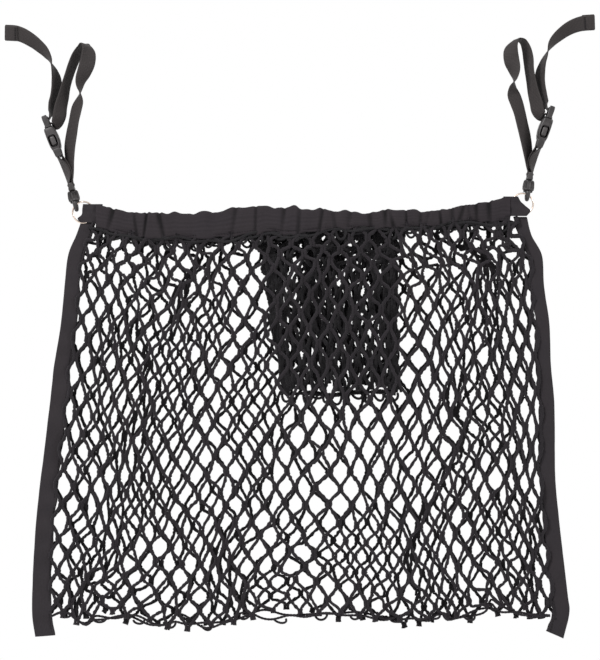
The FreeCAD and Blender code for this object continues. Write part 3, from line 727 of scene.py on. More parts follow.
@dataclass
class BagShape:
    """Where the bag's edges run and how deep it is, for every sewn piece to meet."""

    mouth_top: tuple = ((-0.222, -0.1628), (-0.203, -0.1645), (-0.183, -0.1705), (-0.153, -0.173),
                        (-0.093, -0.173), (-0.070, -0.1685), (-0.043, -0.1670), (-0.003, -0.1685),
                        (0.067, -0.1730), (0.087, -0.1695), (0.127, -0.1715), (0.147, -0.1680),
                        (0.177, -0.1630), (0.197, -0.1590), (0.222, -0.1570))
    mouth_foot: tuple = ((-0.222, -0.186), (-0.208, -0.188), (-0.166, -0.1970), (-0.139, -0.2000),
                         (-0.101, -0.1990), (-0.063, -0.1965), (-0.034, -0.1925), (-0.012, -0.1950),
                         (0.039, -0.1890), (0.096, -0.1880), (0.161, -0.1830), (0.205, -0.1818),
                         (0.222, -0.1820))
    left_edge: tuple = ((-0.221, -0.180), (-0.2265, -0.195), (-0.2345, -0.215), (-0.2380, -0.245),
                        (-0.2420, -0.285), (-0.2485, -0.325), (-0.2530, -0.365), (-0.2580, -0.405),
                        (-0.2630, -0.445), (-0.2670, -0.485), (-0.2700, -0.530), (-0.2708, -0.572),
                        (-0.2675, -0.598))
    right_edge: tuple = ((0.2235, -0.176), (0.2280, -0.195), (0.2385, -0.215), (0.2405, -0.245),
                         (0.2460, -0.285), (0.2475, -0.325), (0.2510, -0.365), (0.2520, -0.435),
                         (0.2555, -0.475), (0.2600, -0.515), (0.2645, -0.555), (0.2662, -0.573),
                         (0.2600, -0.600))
    foot_line: tuple = ((-0.256, -0.580), (-0.235, -0.5745), (-0.218, -0.587), (-0.206, -0.5815),
                        (-0.170, -0.5820), (-0.138, -0.5855), (-0.125, -0.5805), (-0.097, -0.5875),
                        (-0.079, -0.5850), (-0.054, -0.5755), (-0.026, -0.5810), (-0.004, -0.5770),
                        (0.045, -0.5765), (0.075, -0.5800), (0.104, -0.5815), (0.120, -0.5825),
                        (0.138, -0.5730), (0.147, -0.5795), (0.181, -0.5730), (0.188, -0.5640),
                        (0.199, -0.5720), (0.227, -0.5770), (0.252, -0.5780))
    tape_top_width: float = 0.0150
    tape_foot_width: float = 0.0195
    belly_level: float = -0.390
    foot_level: float = -0.578
    mouth_level: float = -0.190
    mouth_bulge: float = 0.0150
    belly_bulge: float = 0.0200
    foot_bulge: float = 0.0015

    def __post_init__(self) -> None:
        """Read the smooth lines once."""
        self._lines = {name: smooth_line(getattr(self, name), 12)
                       for name in ("mouth_top", "mouth_foot", "foot_line", "left_edge",
                                    "right_edge")}

    def _height(self, name: str, x: np.ndarray) -> np.ndarray:
        """The height of one of the level lines."""
        line = self._lines[name]
        return np.interp(x, line[:, 0], line[:, 1])

    def top(self, x: np.ndarray) -> np.ndarray:
        """The height of the mouth tape's upper edge."""
        return self._height("mouth_top", x)

    def foot(self, x: np.ndarray) -> np.ndarray:
        """The height of the mouth tape's lower edge."""
        return self._height("mouth_foot", x)

    def hem(self, x: np.ndarray) -> np.ndarray:
        """The height of the bag's foot."""
        return self._height("foot_line", x)

    def outer(self, side: Side, z: np.ndarray) -> np.ndarray:
        """How far out a side tape's folded edge is at a height."""
        line = self._lines[f"{side.word}_edge"][::-1]
        return np.interp(z, line[:, 1], line[:, 0])

    def width(self, side: Side, z: np.ndarray) -> np.ndarray:
        """A side tape's width at a height."""
        share = np.clip((self.mouth_level - z) / (self.mouth_level - self.foot_level), 0, 1)
        width = self.tape_top_width + (self.tape_foot_width - self.tape_top_width) * share
        return width * (RIGHT_TAPE_SHARE if side is Side.RIGHT else 1.0)

    def inner(self, side: Side, z: np.ndarray) -> np.ndarray:
        """Where the netting enters a side tape at a height."""
        return self.outer(side, z) - side.value * self.width(side, z)

    def depth(self, x: np.ndarray, z: np.ndarray) -> np.ndarray:
        """How far the netting stands from the bag's middle plane."""
        bulge = np.interp(z, (self.foot_level, self.belly_level, self.mouth_level),
                          (self.foot_bulge, self.belly_bulge, self.mouth_bulge))
        left, right = self.outer(Side.LEFT, z), self.outer(Side.RIGHT, z)
        share = (2 * x - left - right) / (right - left)
        return 0.0013 + bulge * np.clip(1 - share ** 2, 0, 1)


# ---------------------------------------------------------------------------------------------
# Netting
# ---------------------------------------------------------------------------------------------


@dataclass
class Netting:
    """One layer of knotless netting: cords that zigzag down and meet side by side."""

    name: str
    seed: int
    columns: int
    rows: int
    left: Callable[[np.ndarray], np.ndarray]
    right: Callable[[np.ndarray], np.ndarray]
    high: Callable[[np.ndarray], np.ndarray]
    low: Callable[[np.ndarray], np.ndarray]
    out: Callable[[np.ndarray, np.ndarray], np.ndarray]
    column_widths: tuple = (1.0, 1.0)
    row_heights: tuple = (1.0, 1.0)
    sway: float = 0.0045
    jitter: float = 0.0011
    slack: float = 0.0007
    cord: float = 0.00160
    joint: float = 0.0024
    clumps: tuple = ()
    samples: int = 6
    settle_steps: int = 70

    def knots(self) -> np.ndarray:
        """Where the joints are, before the netting settles.

        Returns:
            Rows by columns by x and z; the last of each odd row isn't used.
        """
        row, column = np.meshgrid(np.arange(self.rows + 1), np.arange(self.columns), indexing="ij")
        across = (column + 0.5 * (row % 2)) / (self.columns - 1)
        u = self._eased(across, self.column_widths)
        v = self._eased(row / self.rows, self.row_heights)
        x = np.zeros_like(u)
        z = np.full_like(u, self.high(np.array(0.0)))
        for _ in range(4):
            z = self.high(x) + (self.low(x) - self.high(x)) * v
            x = self.left(z) + (self.right(z) - self.left(z)) * u
        free = np.clip(np.minimum(across, 1 - across) * 7, 0, 1)
        hung = np.clip(row / 3, 0, 1)
        wide, fine = Ripple(self.seed, 0.23, 0.07), Ripple(self.seed + 1, 0.07, 0.03)
        tall, deep = Ripple(self.seed + 2, 0.23, 0.07), Ripple(self.seed + 3, 0.07, 0.03)
        draw = np.random.default_rng(self.seed + 4)
        x = x + free * hung * self.sway * (wide.at(x, z) + 0.45 * fine.at(x, z))
        z = z + free * hung * self.sway * (0.8 * tall.at(x, z) + 0.5 * deep.at(x, z))
        x = x + free * self.jitter * draw.standard_normal(x.shape)
        z = z + free * hung * self.jitter * draw.standard_normal(x.shape)
        for centre_x, centre_z, reach_x, reach_z, pull in self.clumps:
            near = np.exp(-((x - centre_x) / reach_x) ** 2 - ((z - centre_z) / reach_z) ** 2)
            x = x + (centre_x - x) * near * pull
            z = z + (centre_z - z) * near * pull * 0.3
        return np.stack([x, z], axis=-1)

    @staticmethod
    def _eased(share: np.ndarray, weights: Sequence[float]) -> np.ndarray:
        """A share from 0 to 1, spent in proportion to some weights along the way."""
        fine = np.linspace(0, 1, 241)
        spent = np.concatenate([[0], np.cumsum(
            np.interp((fine[1:] + fine[:-1]) / 2, np.linspace(0, 1, len(weights)), weights))])
        return np.interp(share, fine, spent / spent[-1])

    def bars(self) -> np.ndarray:
        """The pairs of joints that a cord links, as flat numbers."""
        number = np.arange((self.rows + 1) * self.columns).reshape(self.rows + 1, self.columns)
        pairs = []
        for row in range(self.rows):
            here, below = number[row], number[row + 1]
            if row % 2 == 0:
                pairs += [np.stack([here[:-1], below[:-1]], 1), np.stack([here[1:], below[:-1]], 1)]
            else:
                pairs += [np.stack([here[:-1], below[:-1]], 1), np.stack([here[:-1], below[1:]], 1)]
        return np.concatenate(pairs)

    def settled(self, knots: np.ndarray) -> np.ndarray:
        """Let the cords pull the joints until none is stretched or crushed.

        Args:
            knots: The joints' places.

        Returns:
            The joints' places once the netting hangs.
        """
        shape = knots.shape
        flat = knots.reshape(-1, 2).copy()
        pairs = self.bars()
        length = np.linalg.norm(flat[pairs[:, 0]] - flat[pairs[:, 1]], axis=1)
        draw = np.random.default_rng(self.seed + 5)
        usual = np.median(length) * (1.02 + 0.07 * draw.standard_normal(len(pairs)).clip(-1.5, 1.5))
        row, column = np.divmod(np.arange(len(flat)), self.columns)
        last = self.columns - 1
        held = (row == 0) | ((row % 2 == 0) & ((column == 0) | (column == last)))
        uses = np.bincount(pairs.ravel(), minlength=len(flat)).clip(1)[:, None]
        for _ in range(self.settle_steps):
            span = flat[pairs[:, 1]] - flat[pairs[:, 0]]
            now = np.linalg.norm(span, axis=1)
            wanted = np.clip(now, 0.74 * usual, 1.03 * usual)
            move = span * ((now - wanted) / now * 0.5)[:, None]
            shift = np.zeros_like(flat)
            np.add.at(shift, pairs[:, 0], move)
            np.add.at(shift, pairs[:, 1], -move)
            flat += np.where(held[:, None], 0, shift / uses * 1.6)
            flat[:, 1] -= np.where(held, 0, 0.00004)
        return flat.reshape(shape)

    def cords(self, knots: np.ndarray) -> np.ndarray:
        """The cords' middle lines.

        Args:
            knots: The settled joints.

        Returns:
            Cords by points by three.
        """
        draw = np.random.default_rng(self.seed + 6)
        usable = knots.copy()
        usable[1::2, -1] = usable[1::2, -2]
        axis = self._joint_axes(usable)
        lines = []
        for lean in (1, -1):
            for k in range(self.columns - 1):
                rows = np.arange(self.rows + 1)
                column = np.where((lean < 0) & (rows % 2 == 0), k + 1, k)
                sign = np.where(rows % 2 == 0, 1, -1) * lean
                lines.append(self._one_cord(usable[rows, column], axis[rows, column], sign, draw))
        return np.stack(lines)

    def _joint_axes(self, knots: np.ndarray) -> np.ndarray:
        """The way each joint points, down the net."""
        down = knots.copy()
        down[1:-1] = knots[2:] - knots[:-2]
        down[0], down[-1] = knots[2] - knots[0], knots[-1] - knots[-3]
        down /= np.linalg.norm(down, axis=-1, keepdims=True) + 1e-12
        return down

    def _one_cord(self, knots: np.ndarray, axis: np.ndarray, sign: np.ndarray,
                  draw: np.random.Generator) -> np.ndarray:
        """One cord's middle line, down through its joints.

        Args:
            knots: Its joints, by x and z.
            axis: The way each points.
            sign: Which side of each joint the cord is on.
            draw: The source of its unevenness.

        Returns:
            Points by three.
        """
        beside = np.stack([-axis[:, 1], axis[:, 0]], axis=1) * (sign * self.cord * 0.8)[:, None]
        half = self.joint * (0.85 + 0.4 * draw.random(len(knots)))[:, None]
        start, end = knots + beside - axis * half, knots + beside + axis * half
        middle = knots + beside
        share = (np.arange(1, self.samples + 1) / (self.samples + 1))[None, :, None]
        a, b = end[:-1, None], start[1:, None]
        span = np.linalg.norm(b - a, axis=-1, keepdims=True)
        pull = 0.12 + 0.3 * draw.random((len(knots) - 1, 1, 1))
        ta, tb = axis[:-1, None] * span * pull, axis[1:, None] * span * pull
        h1, h2 = 2 * share ** 3 - 3 * share ** 2 + 1, share ** 3 - 2 * share ** 2 + share
        h3, h4 = 3 * share ** 2 - 2 * share ** 3, share ** 3 - share ** 2
        legs = h1 * a + h2 * ta + h3 * b + h4 * tb
        bow = np.cross(np.append((b - a)[:, 0], np.zeros((len(knots) - 1, 1)), 1), (0, 0, 1))[:, :2]
        bow /= np.linalg.norm(bow, axis=1, keepdims=True) + 1e-12
        amount = self.slack * draw.standard_normal((len(knots) - 1, 1, 1)).clip(-2.5, 2.5)
        legs = legs + bow[:, None] * amount * np.sin(share * math.pi)
        rows = [np.concatenate([start[i:i + 1], middle[i:i + 1], end[i:i + 1], legs[i]])
                for i in range(len(knots) - 1)]
        flat = np.concatenate([*rows, start[-1:], middle[-1:], end[-1:]])
        out = self.out(flat[:, 0], flat[:, 1])
        lift = 0.0005 * np.sin(np.arange(len(flat)) * 2 * math.pi / (self.samples + 3) / 2)
        return np.stack([flat[:, 0], out + lift * sign[0], flat[:, 1]], axis=1)

    def build(self) -> bpy.types.Object:
        """Make the layer.

        Returns:
            The netting as one mesh.
        """
        cloth = Cloth()
        lines = self.cords(self.settled(self.knots()))
        draw = np.random.default_rng(self.seed + 7)
        for line in lines:
            uneven = 1 + 0.09 * draw.standard_normal(len(line)).clip(-2, 2)
            radius = self.cord * knobbly(len(line)) * uneven
            line = line + 0.00022 * draw.standard_normal(line.shape).clip(-2, 2)
            cloth.tube(line, radius, radius * 0.92, sides=6)
        return cloth.piece(self.name)


@dataclass
class LooseEdge:
    """Cords that run in slack waves along an edge, with loops that hang from them."""

    name: str
    line: np.ndarray
    seed: int
    cords: int = 2
    sway: float = 0.0030
    cord: float = 0.00125
    loop_count: int = 0
    loop_drop: float = 0.007
    loop_width: float = 0.010

    def build(self) -> bpy.types.Object:
        """Make the edge.

        Returns:
            The cords and loops as one mesh.
        """
        cloth = Cloth()
        draw = np.random.default_rng(self.seed)
        run = distances(self.line)
        for number in range(self.cords):
            slow = Ripple(self.seed + 10 * number, 0.09, 0.02)
            deep = Ripple(self.seed + 10 * number + 5, 0.08, 0.015)
            path = self.line.copy()
            ends = np.clip(np.minimum(run, run[-1] - run) / 0.02, 0, 1)
            path[:, 2] += ends * self.sway * slow.at(run)
            path[:, 1] += 0.6 * self.sway * deep.at(run) + 0.0011 * (number - (self.cords - 1) / 2)
            radius = self.cord * knobbly(len(path))
            cloth.tube(path, radius, radius, sides=7, toward=(0, 1, 0.02))
        for place in np.linspace(0.03, 0.97, self.loop_count):
            centre = place * run[-1] + 0.3 * self.loop_width * draw.standard_normal()
            x, y, z = (np.interp(centre, run, self.line[:, k]) for k in range(3))
            width = self.loop_width * (0.7 + 0.5 * draw.random())
            drop = self.loop_drop * (0.5 + 0.8 * draw.random())
            angle = np.linspace(0, math.pi, 13)
            lean = 0.0015 * draw.standard_normal()
            loop = np.stack([x - np.cos(angle) * width / 2 + lean * np.sin(angle),
                             y + 0.0012 * draw.standard_normal() + 0.001 * np.sin(angle * 2),
                             z - np.sin(angle) * drop], axis=1)
            cloth.tube(loop, np.full(13, self.cord), np.full(13, self.cord), sides=7)
        return cloth.piece(self.name)


# ---------------------------------------------------------------------------------------------
# Sewn tape
# ---------------------------------------------------------------------------------------------


class Stitches:
    """Short thread dashes laid along lines on a surface."""

    def __init__(self, name: str, thread: float = 0.00032) -> None:
        """Start with none.

        Args:
            name: The piece's name.
            thread: Half the thread's thickness.
        """
        self.name = name
        self.thread = thread
        self.cloth = Cloth()

    def row(self, line: np.ndarray, pitch: float, toward: Sequence[float]) -> None:
        """Lay one row.

        Args:
            line: The row's points.
            pitch: From one stitch to the next.
            toward: The way out of the cloth.
        """
        run = distances(line)
        out = np.asarray(toward, float)
        for start in np.arange(0.0005, run[-1] - pitch, pitch):
            places = start + pitch * STITCH_SHARE * np.linspace(0, 1, 6)
            path = np.stack([np.interp(places, run, line[:, k]) for k in range(3)], axis=1)
            path += out * (np.sin(np.linspace(0, math.pi, 6)) * self.thread * 1.4
                           - self.thread * 0.7)[:, None]
            size = self.thread * np.array([0.6, 1, 1, 1, 1, 0.6])
            self.cloth.tube(path, size, size, sides=6, toward=out)

    def build(self) -> bpy.types.Object:
        """Make the piece."""
        return self.cloth.piece(self.name)


@dataclass
class MouthTape:
    """One gathered casing of the mouth: a flat tube of tape, puckered by its elastic."""

    shape: BagShape
    face: Face
    seed: int
    half_length: float = 0.2070
    half_chord: float = 0.212
    gap: float = 0.0003
    ply: float = 0.0040
    pleats: tuple = (-0.192, -0.167, -0.157, -0.141, -0.069, -0.047, -0.020, -0.004, 0.018, 0.031,
                     0.046, 0.067, 0.082, 0.088, 0.103, 0.117, 0.124, 0.137, 0.149, 0.158, 0.166,
                     0.173, 0.186)
    around: int = 34
    step: float = 0.0006

    def middle(self, x: np.ndarray) -> np.ndarray:
        """How far the casing's middle stands from the bag's middle plane."""
        bulge = self.shape.mouth_bulge * (1 - (x / self.half_chord) ** 2)
        return self.face.value * (self.gap + self.ply / 2 + np.clip(bulge, 0, None))

    def valleys(self, x: np.ndarray, level: np.ndarray) -> np.ndarray:
        """How deep the puckers are, from 0 to about 1.

        Args:
            x: Places along the mouth.
            level: Height in the tape, from -1 at its foot to 1 at its top.

        Returns:
            The depth at each place.
        """
        draw = np.random.default_rng(self.seed)
        total = np.zeros(np.broadcast(x, level).shape)
        for place in self.pleats:
            depth, lean = 0.4 + 0.6 * draw.random(), 0.0019 * draw.standard_normal()
            width = 0.0012 + 0.0015 * draw.random()
            lop = 0.35 * draw.standard_normal()
            away = x - place - lean * level
            ridge = 0.28 * np.exp(-((away - width * 2) / (width * 1.6)) ** 2)
            fall = np.exp(-(away / width) ** 2) - ridge
            total = total + depth * fall * (1 + lop * level)
        return total

    def _grid(self) -> tuple[np.ndarray, np.ndarray, np.ndarray]:
        """Places along the mouth, and heights and depths round the tube from -1 to 1."""
        x = np.arange(-self.half_length, self.half_length + self.step / 2, self.step)[:, None]
        angle = np.linspace(0, 2 * math.pi, self.around, endpoint=False)[None, :]
        c, s = np.cos(angle), np.sin(angle)
        return x, np.sign(s) * np.abs(s) ** 0.45, np.sign(c) * np.abs(c) ** 0.8

    def surface(self, inset: float = 0.0) -> np.ndarray:
        """The casing's surface, as rows along the mouth by points round the tube.

        Args:
            inset: How far inside the outer surface it is.

        Returns:
            Rows by points by three.
        """
        x, level, thick = self._grid()
        deep = self.valleys(x, level)
        swell = Ripple(self.seed + 1, 0.05, 0.012)
        edge = Ripple(self.seed + 2, 0.03, 0.008)
        dip = np.clip(self.valleys(x, 1.0), 0, 1.2)
        top = self.shape.top(x) + 0.0007 * edge.at(x) - 0.0013 * dip
        foot = self.shape.foot(x) + 0.0006 * edge.at(x, 0.3) + 0.0006 * self.valleys(x, -1.0)
        half = (top - foot) / 2 - inset
        groove = np.exp(-((level - SEAM_LEVEL) / 0.06) ** 2)
        puff = self.ply / 2 * (1 + 0.16 * swell.at(x, level * 0.012)) - 0.0004 * groove
        puff = np.clip(puff - 0.0024 * deep, 0.0005, None) - inset * 0.45
        inner = self.ply * 0.45 - inset * 0.55
        y = self.middle(x) + self.face.value * thick * np.where(thick > 0, puff, inner)
        y = y + 0.0004 * swell.at(x, 0.5)
        z = (top + foot) / 2 + half * level
        return np.stack(np.broadcast_arrays(x, y, z), axis=-1)

    def build(self) -> bpy.types.Object:
        """Make the casing, with the depth of its pucker creases stored for the painted shade in its
        colour.
        """
        cloth = Cloth()
        around = np.linspace(0, 0.054, self.around + 1)
        points, lining = self.surface(), self.surface(TAPE_LINING)[:, ::-1]
        run = np.arange(len(points) + 1) * self.step * 1.25
        cloth.grid(points, run, around, closed_across=True)
        cloth.grid(lining, run, around, closed_across=True)
        for end in (0, -1):
            rim = np.stack([points[end], self.surface(TAPE_LINING)[end]])
            cloth.grid(rim if end else rim[::-1], run, around, closed_across=True)
        piece = cloth.piece(f"{self.face.word}_mouth_tape")
        x, level, _ = self._grid()
        # painted shade: the pucker valleys' depth, by which the tape's colour darkens
        crease = np.zeros(len(piece.data.vertices), np.float32)
        deep = self.valleys(x, level).clip(0, 1).ravel()
        crease[:len(deep)] = deep
        piece.data.attributes.new("crease", "FLOAT", "POINT").data.foreach_set("value", crease)
        return piece

    def elastic(self) -> bpy.types.Object:
        """Make the flat elastic that runs inside the casing.

        Returns:
            The strip, which bows with the casing.
        """
        x = np.arange(-self.half_length + 0.001, self.half_length - 0.001, 0.004)
        middle, half = (self.shape.top(x) + self.shape.foot(x)) / 2 - 0.0006, 0.0070
        level = np.array([-1, -0.9, -0.5, 0, 0.5, 0.9, 1, 0.9, 0.5, 0, -0.5, -0.9])
        out = np.array([0, 1, 1, 1, 1, 1, 0, -1, -1, -1, -1, -1]) * 0.00035
        points = np.stack(np.broadcast_arrays(
            x[:, None], self.middle(x)[:, None] - self.face.value * 0.0009 + out,
            middle[:, None] + half * level), axis=-1)
        cloth = Cloth()
        cloth.grid(points, np.arange(len(x) + 1) * 0.004, np.linspace(0, 0.036, 13),
                   closed_across=True)
        cloth.close_ends(0, 12, len(x))
        return cloth.piece(f"{self.face.word}_elastic_strip")

    def seam(self) -> np.ndarray:
        """The line of stitches near the casing's foot."""
        x = np.arange(-self.half_length + 0.002, self.half_length - 0.002, 0.0012)
        level = np.full_like(x, SEAM_LEVEL)
        foot, top = self.shape.foot(x), self.shape.top(x)
        z = (foot + top) / 2 + (top - foot) / 2 * level
        out = self.ply / 2 * 0.86 - 0.0020 * self.valleys(x, level)
        return np.stack([x, self.middle(x) + self.face.value * out, z], axis=1)


@dataclass
class SideTape:
    """A tape folded over the nets' side edges, from the mouth's corner to its raw foot."""

    shape: BagShape
    side: Side
    seed: int
    top: float
    foot: float
    ply: float = 0.0008
    opening: float = 0.0026
    step: float = 0.0013
    slant: float = 0.0

    def sections(self) -> tuple[np.ndarray, np.ndarray]:
        """The tape's cross-sections down its length.

        Returns:
            Rows by points by three, and the coordinate across the tape at each point.
        """
        z = np.arange(self.top, self.foot, -self.step)
        z = np.append(z, self.foot)
        sign = self.side.value
        outer, width = self.shape.outer(self.side, z), self.shape.width(self.side, z)
        wave, twist = Ripple(self.seed, 0.16, 0.05), Ripple(self.seed + 1, 0.06, 0.02)
        hem = Ripple(self.seed + 2, 0.05, 0.012)
        turns = np.linspace(-math.pi / 2, math.pi / 2, 9)
        fold_x, fold_y = np.cos(turns), np.sin(turns)
        inner_share = np.linspace(1, 0.08, 11)
        sections = []
        for z_here, outer_here, width_here in zip(z, outer, width):
            lap = width_here + 0.0005 * hem.at(z_here)
            half = self.opening / 2 * (1 + 0.1 * twist.at(z_here, 0.1))
            back = np.stack([outer_here - sign * inner_share * lap, np.full(11, half)], 1)
            front = np.stack([outer_here - sign * inner_share[::-1] * lap, np.full(11, -half)], 1)
            fold = np.stack([outer_here - sign * (0.08 * lap - 0.0012 * fold_x),
                             half * fold_y], 1)
            core = np.concatenate([front[::-1], fold[1:-1], back[::-1]])
            sections.append(thickened(core, self.ply, sign))
        flat = np.stack(sections)
        lift = 0.0011 * wave.at(z)[:, None] + 0.0005 * twist.at(z[:, None], flat[..., 0])
        inward = sign * (outer[:, None] - flat[..., 0]) / width[:, None]
        rise = self.slant * inward * np.exp(-((z - self.foot) / 0.012))[:, None]
        points = np.stack([flat[..., 0], flat[..., 1] + lift, z[:, None] + rise], axis=-1)
        around = np.linspace(0, 0.08, points.shape[1] + 1)
        return points, around

    def build(self) -> bpy.types.Object:
        """Make the tape."""
        points, around = self.sections()
        cloth = Cloth()
        run = np.arange(len(points) + 1) * self.step
        cloth.grid(points, run, around, closed_across=True)
        cloth.close_ends(0, points.shape[1], len(points))
        return cloth.piece(f"{self.side.word}_side_tape")

    def seam(self, face: Face) -> np.ndarray:
        """The line of stitches near the tape's inner hem, on one face."""
        z = np.arange(self.top - 0.004, self.foot + 0.003, -0.0015)
        wave = Ripple(self.seed, 0.16, 0.05)
        x = self.shape.inner(self.side, z) + self.side.value * 0.0022
        y = face.value * (self.opening / 2 + self.ply / 2) + 0.0011 * wave.at(z)
        return np.stack([x, y, z], axis=1)


@dataclass
class RingTab:
    """A short tape folded through a ring and sewn into the mouth's corner."""

    side: Side
    seed: int
    outline: tuple
    root: float = 0.2005
    reach: float = 0.00215
    ply: float = 0.0009

    def build(self) -> bpy.types.Object:
        """Make the tab.

        Returns:
            The folded tape.
        """
        sign = self.side.value
        edge = smooth_line([(abs(x) * MM, z * MM) for x, z in self.outline], 8)
        turns = np.linspace(math.pi / 2, -math.pi / 2, 9)
        share = np.linspace(0, 1, 12)
        wave = Ripple(self.seed, 0.02, 0.006)
        rows = []
        for out, z in edge:
            flat = self.root + (out - self.reach - self.root) * share
            back = np.stack([flat, np.full(12, self.reach)], 1)
            fold = np.stack([out - self.reach + self.reach * np.cos(turns),
                             self.reach * np.sin(turns)], 1)[1:-1]
            front = np.stack([flat[::-1], np.full(12, -self.reach)], 1)
            core = np.concatenate([back, fold, front])
            ring = thickened(core, self.ply, -1)
            puff = 0.0003 * wave.at(ring[:, 0], z)
            rows.append(np.stack([sign * ring[:, 0], ring[:, 1] + puff, np.full(len(ring), z)], 1))
        points = np.stack(rows)
        cloth = Cloth()
        run = np.linspace(0, 0.018, len(points) + 1)
        cloth.grid(points, run, np.linspace(0, 0.08, points.shape[1] + 1), closed_across=True)
        cloth.close_ends(0, points.shape[1], len(points))
        return cloth.piece(f"{self.side.word}_tab_tape")


# ---------------------------------------------------------------------------------------------
# Hangers
# ---------------------------------------------------------------------------------------------


def leaning(base: Sequence[float], tilt: float) -> Matrix:
    """A place given in millimetres that leans about Y by some degrees."""
    return Matrix.Translation(Vector(base) * MM) @ Matrix.Rotation(math.radians(tilt), 4, "Y")


@dataclass
class Webbing:
    """A strap: its middle line, and the direction of its width at each point."""

    name: str
    centre: np.ndarray
    across: np.ndarray
    closed: bool = False
    width: float = 16.2 * MM
    ply: float = 1.4 * MM
    rib: float = 1.35 * MM
    step: float = 0.34 * MM

    @classmethod
    def laid(cls, name: str, stations: Sequence[Sequence[float]], hem: float) -> "Webbing":
        """Lay a strap through stations and fold its far end back into a hem.

        Args:
            name: The piece's name.
            stations: Rows of x, y, z in millimetres and the width's roll in degrees.
            hem: How far the end is folded back, in metres.

        Returns:
            The strap.
        """
        line = smooth_line(stations, 24)
        points = cls._even(line[:, :3] * MM, line[:, 3:])
        centre, roll = points[:, :3], np.radians(points[:, 3:])
        along = cls._tangents(centre)
        depth = np.array([[0.0, 1.0, 0.0]])
        square = np.cross(depth, along)
        square /= np.linalg.norm(square, axis=1, keepdims=True)
        across = square * np.cos(roll) + depth * np.sin(roll)
        across -= along * (across * along).sum(1, keepdims=True)
        across /= np.linalg.norm(across, axis=1, keepdims=True)
        end, out, wide = centre[-1], along[-1], across[-1]
        face = np.cross(out, wide)
        radius = cls.ply / 2 + 0.03 * MM
        turn = np.linspace(0, math.pi, 9)[1:, None]
        bend = end + out * radius * np.sin(turn) + face * radius * (1 - np.cos(turn))
        back = bend[-1] - out * np.arange(cls.step, hem, cls.step)[:, None]
        fold = np.concatenate([bend, back])
        return cls(name, np.concatenate([centre, fold]),
                   np.concatenate([across, np.broadcast_to(wide, fold.shape)]))

    @classmethod
    def looped(cls, name: str, upper: Vector, lower: Vector, radius: float,
               pinch: float, twist: float) -> "Webbing":
        """Loop a strap round two bars that lie along Y, pinched together between them.

        Args:
            name: The piece's name.
            upper: The upper bar's centre.
            lower: The lower bar's centre.
            radius: The loop's middle line about each bar.
            pinch: Half the gap between the plies' middles at the pinch.
            twist: How far the loop is rolled about its length halfway down, in degrees.

        Returns:
            The strap.
        """
        down = np.array(lower - upper)
        length = np.linalg.norm(down)
        down /= length
        square = np.array([down[2], 0, -down[0]])
        turn = np.linspace(0, math.pi, 25)[:, None]
        arc = (square[None] * np.cos(turn) - down[None] * np.sin(turn)) * radius
        share = np.linspace(0, 1, 40)[1:-1]
        gap = pinch + (radius - pinch) * np.abs(2 * share - 1) ** 2.2
        parts = [
            np.array(upper) + arc,
            np.array(upper) + down[None] * (share * length)[:, None] - square[None] * gap[:, None],
            np.array(lower) - arc,
            np.array(lower) - down[None] * (share * length)[:, None] + square[None] * gap[:, None],
        ]
        path = np.concatenate(parts)
        path = cls._even(np.concatenate([path, path[:1]]), np.zeros((len(path) + 1, 0)))[:-1]
        fall, aside = (path - upper) @ down, ((path - upper) @ square)[:, None]
        middle = np.sin(math.pi * (fall / length).clip(0, 1))
        roll = math.radians(twist) * middle[:, None]
        depth = np.array([[0.0, 1.0, 0.0]])
        bow = SHORT_BOW * math.copysign(1, twist) * middle
        path = (np.array(upper) + down * fall[:, None] + bow[:, None] * np.array([1.0, 0.0, 0.0])
                + (square * np.cos(roll) - depth * np.sin(roll)) * aside)
        return cls(name, path, depth * np.cos(roll) + square * np.sin(roll), closed=True)

    @classmethod
    def _even(cls, points: np.ndarray, extra: np.ndarray) -> np.ndarray:
        """The same line, and what goes with it, at even steps."""
        run = distances(points)
        places = np.linspace(0, run[-1], int(run[-1] / cls.step) + 1)
        table = np.concatenate([points, extra], axis=1)
        return np.stack([np.interp(places, run, column) for column in table.T], axis=1)

    @staticmethod
    def _tangents(points: np.ndarray) -> np.ndarray:
        """Unit directions along a line."""
        along = np.gradient(points, axis=0)
        return along / np.linalg.norm(along, axis=1, keepdims=True)

    def faces(self) -> np.ndarray:
        """The direction out of the strap's face at each point."""
        if self.closed:
            along = np.roll(self.centre, -1, 0) - np.roll(self.centre, 1, 0)
            along /= np.linalg.norm(along, axis=1, keepdims=True)
        else:
            along = self._tangents(self.centre)
        return np.cross(along, self.across)

    def build(self) -> bpy.types.Object:
        """Make the strap.

        Returns:
            The strap, with its ribs in relief.
        """
        u = np.linspace(-1, 1, 15)
        rise = np.sqrt(np.clip(1 - np.abs(u) ** 10, 0, 1))
        across = np.concatenate([u, u[-2:0:-1]])
        height = np.concatenate([rise, -rise[-2:0:-1]])
        run = np.arange(len(self.centre) + 1) * self.step
        rib = 1 + 0.1 * np.sin(run[:-1] * 2 * math.pi / self.rib)
        edge = 1 + 0.006 * np.sin(run[:-1] * 2 * math.pi / self.rib + 1)
        points = (self.centre[:, None] + self.across[:, None] * (
            across[None, :, None] * self.width / 2 * edge[:, None, None])
            + self.faces()[:, None] * (height[None, :, None] * self.ply / 2 * rib[:, None, None]))
        cloth = Cloth()
        marks = np.concatenate([u, 2 + u[1:]]) * self.width / 2
        cloth.grid(points, run, marks, closed_run=self.closed, closed_across=True)
        if not self.closed:
            cloth.close_ends(0, len(across), len(points))
        return cloth.piece(self.name)

    def length(self) -> float:
        """How long the webbing is."""
        steps = np.linalg.norm(np.diff(self.centre, axis=0), axis=1)
        return float(steps.sum() + (steps[-1] if self.closed else 0))

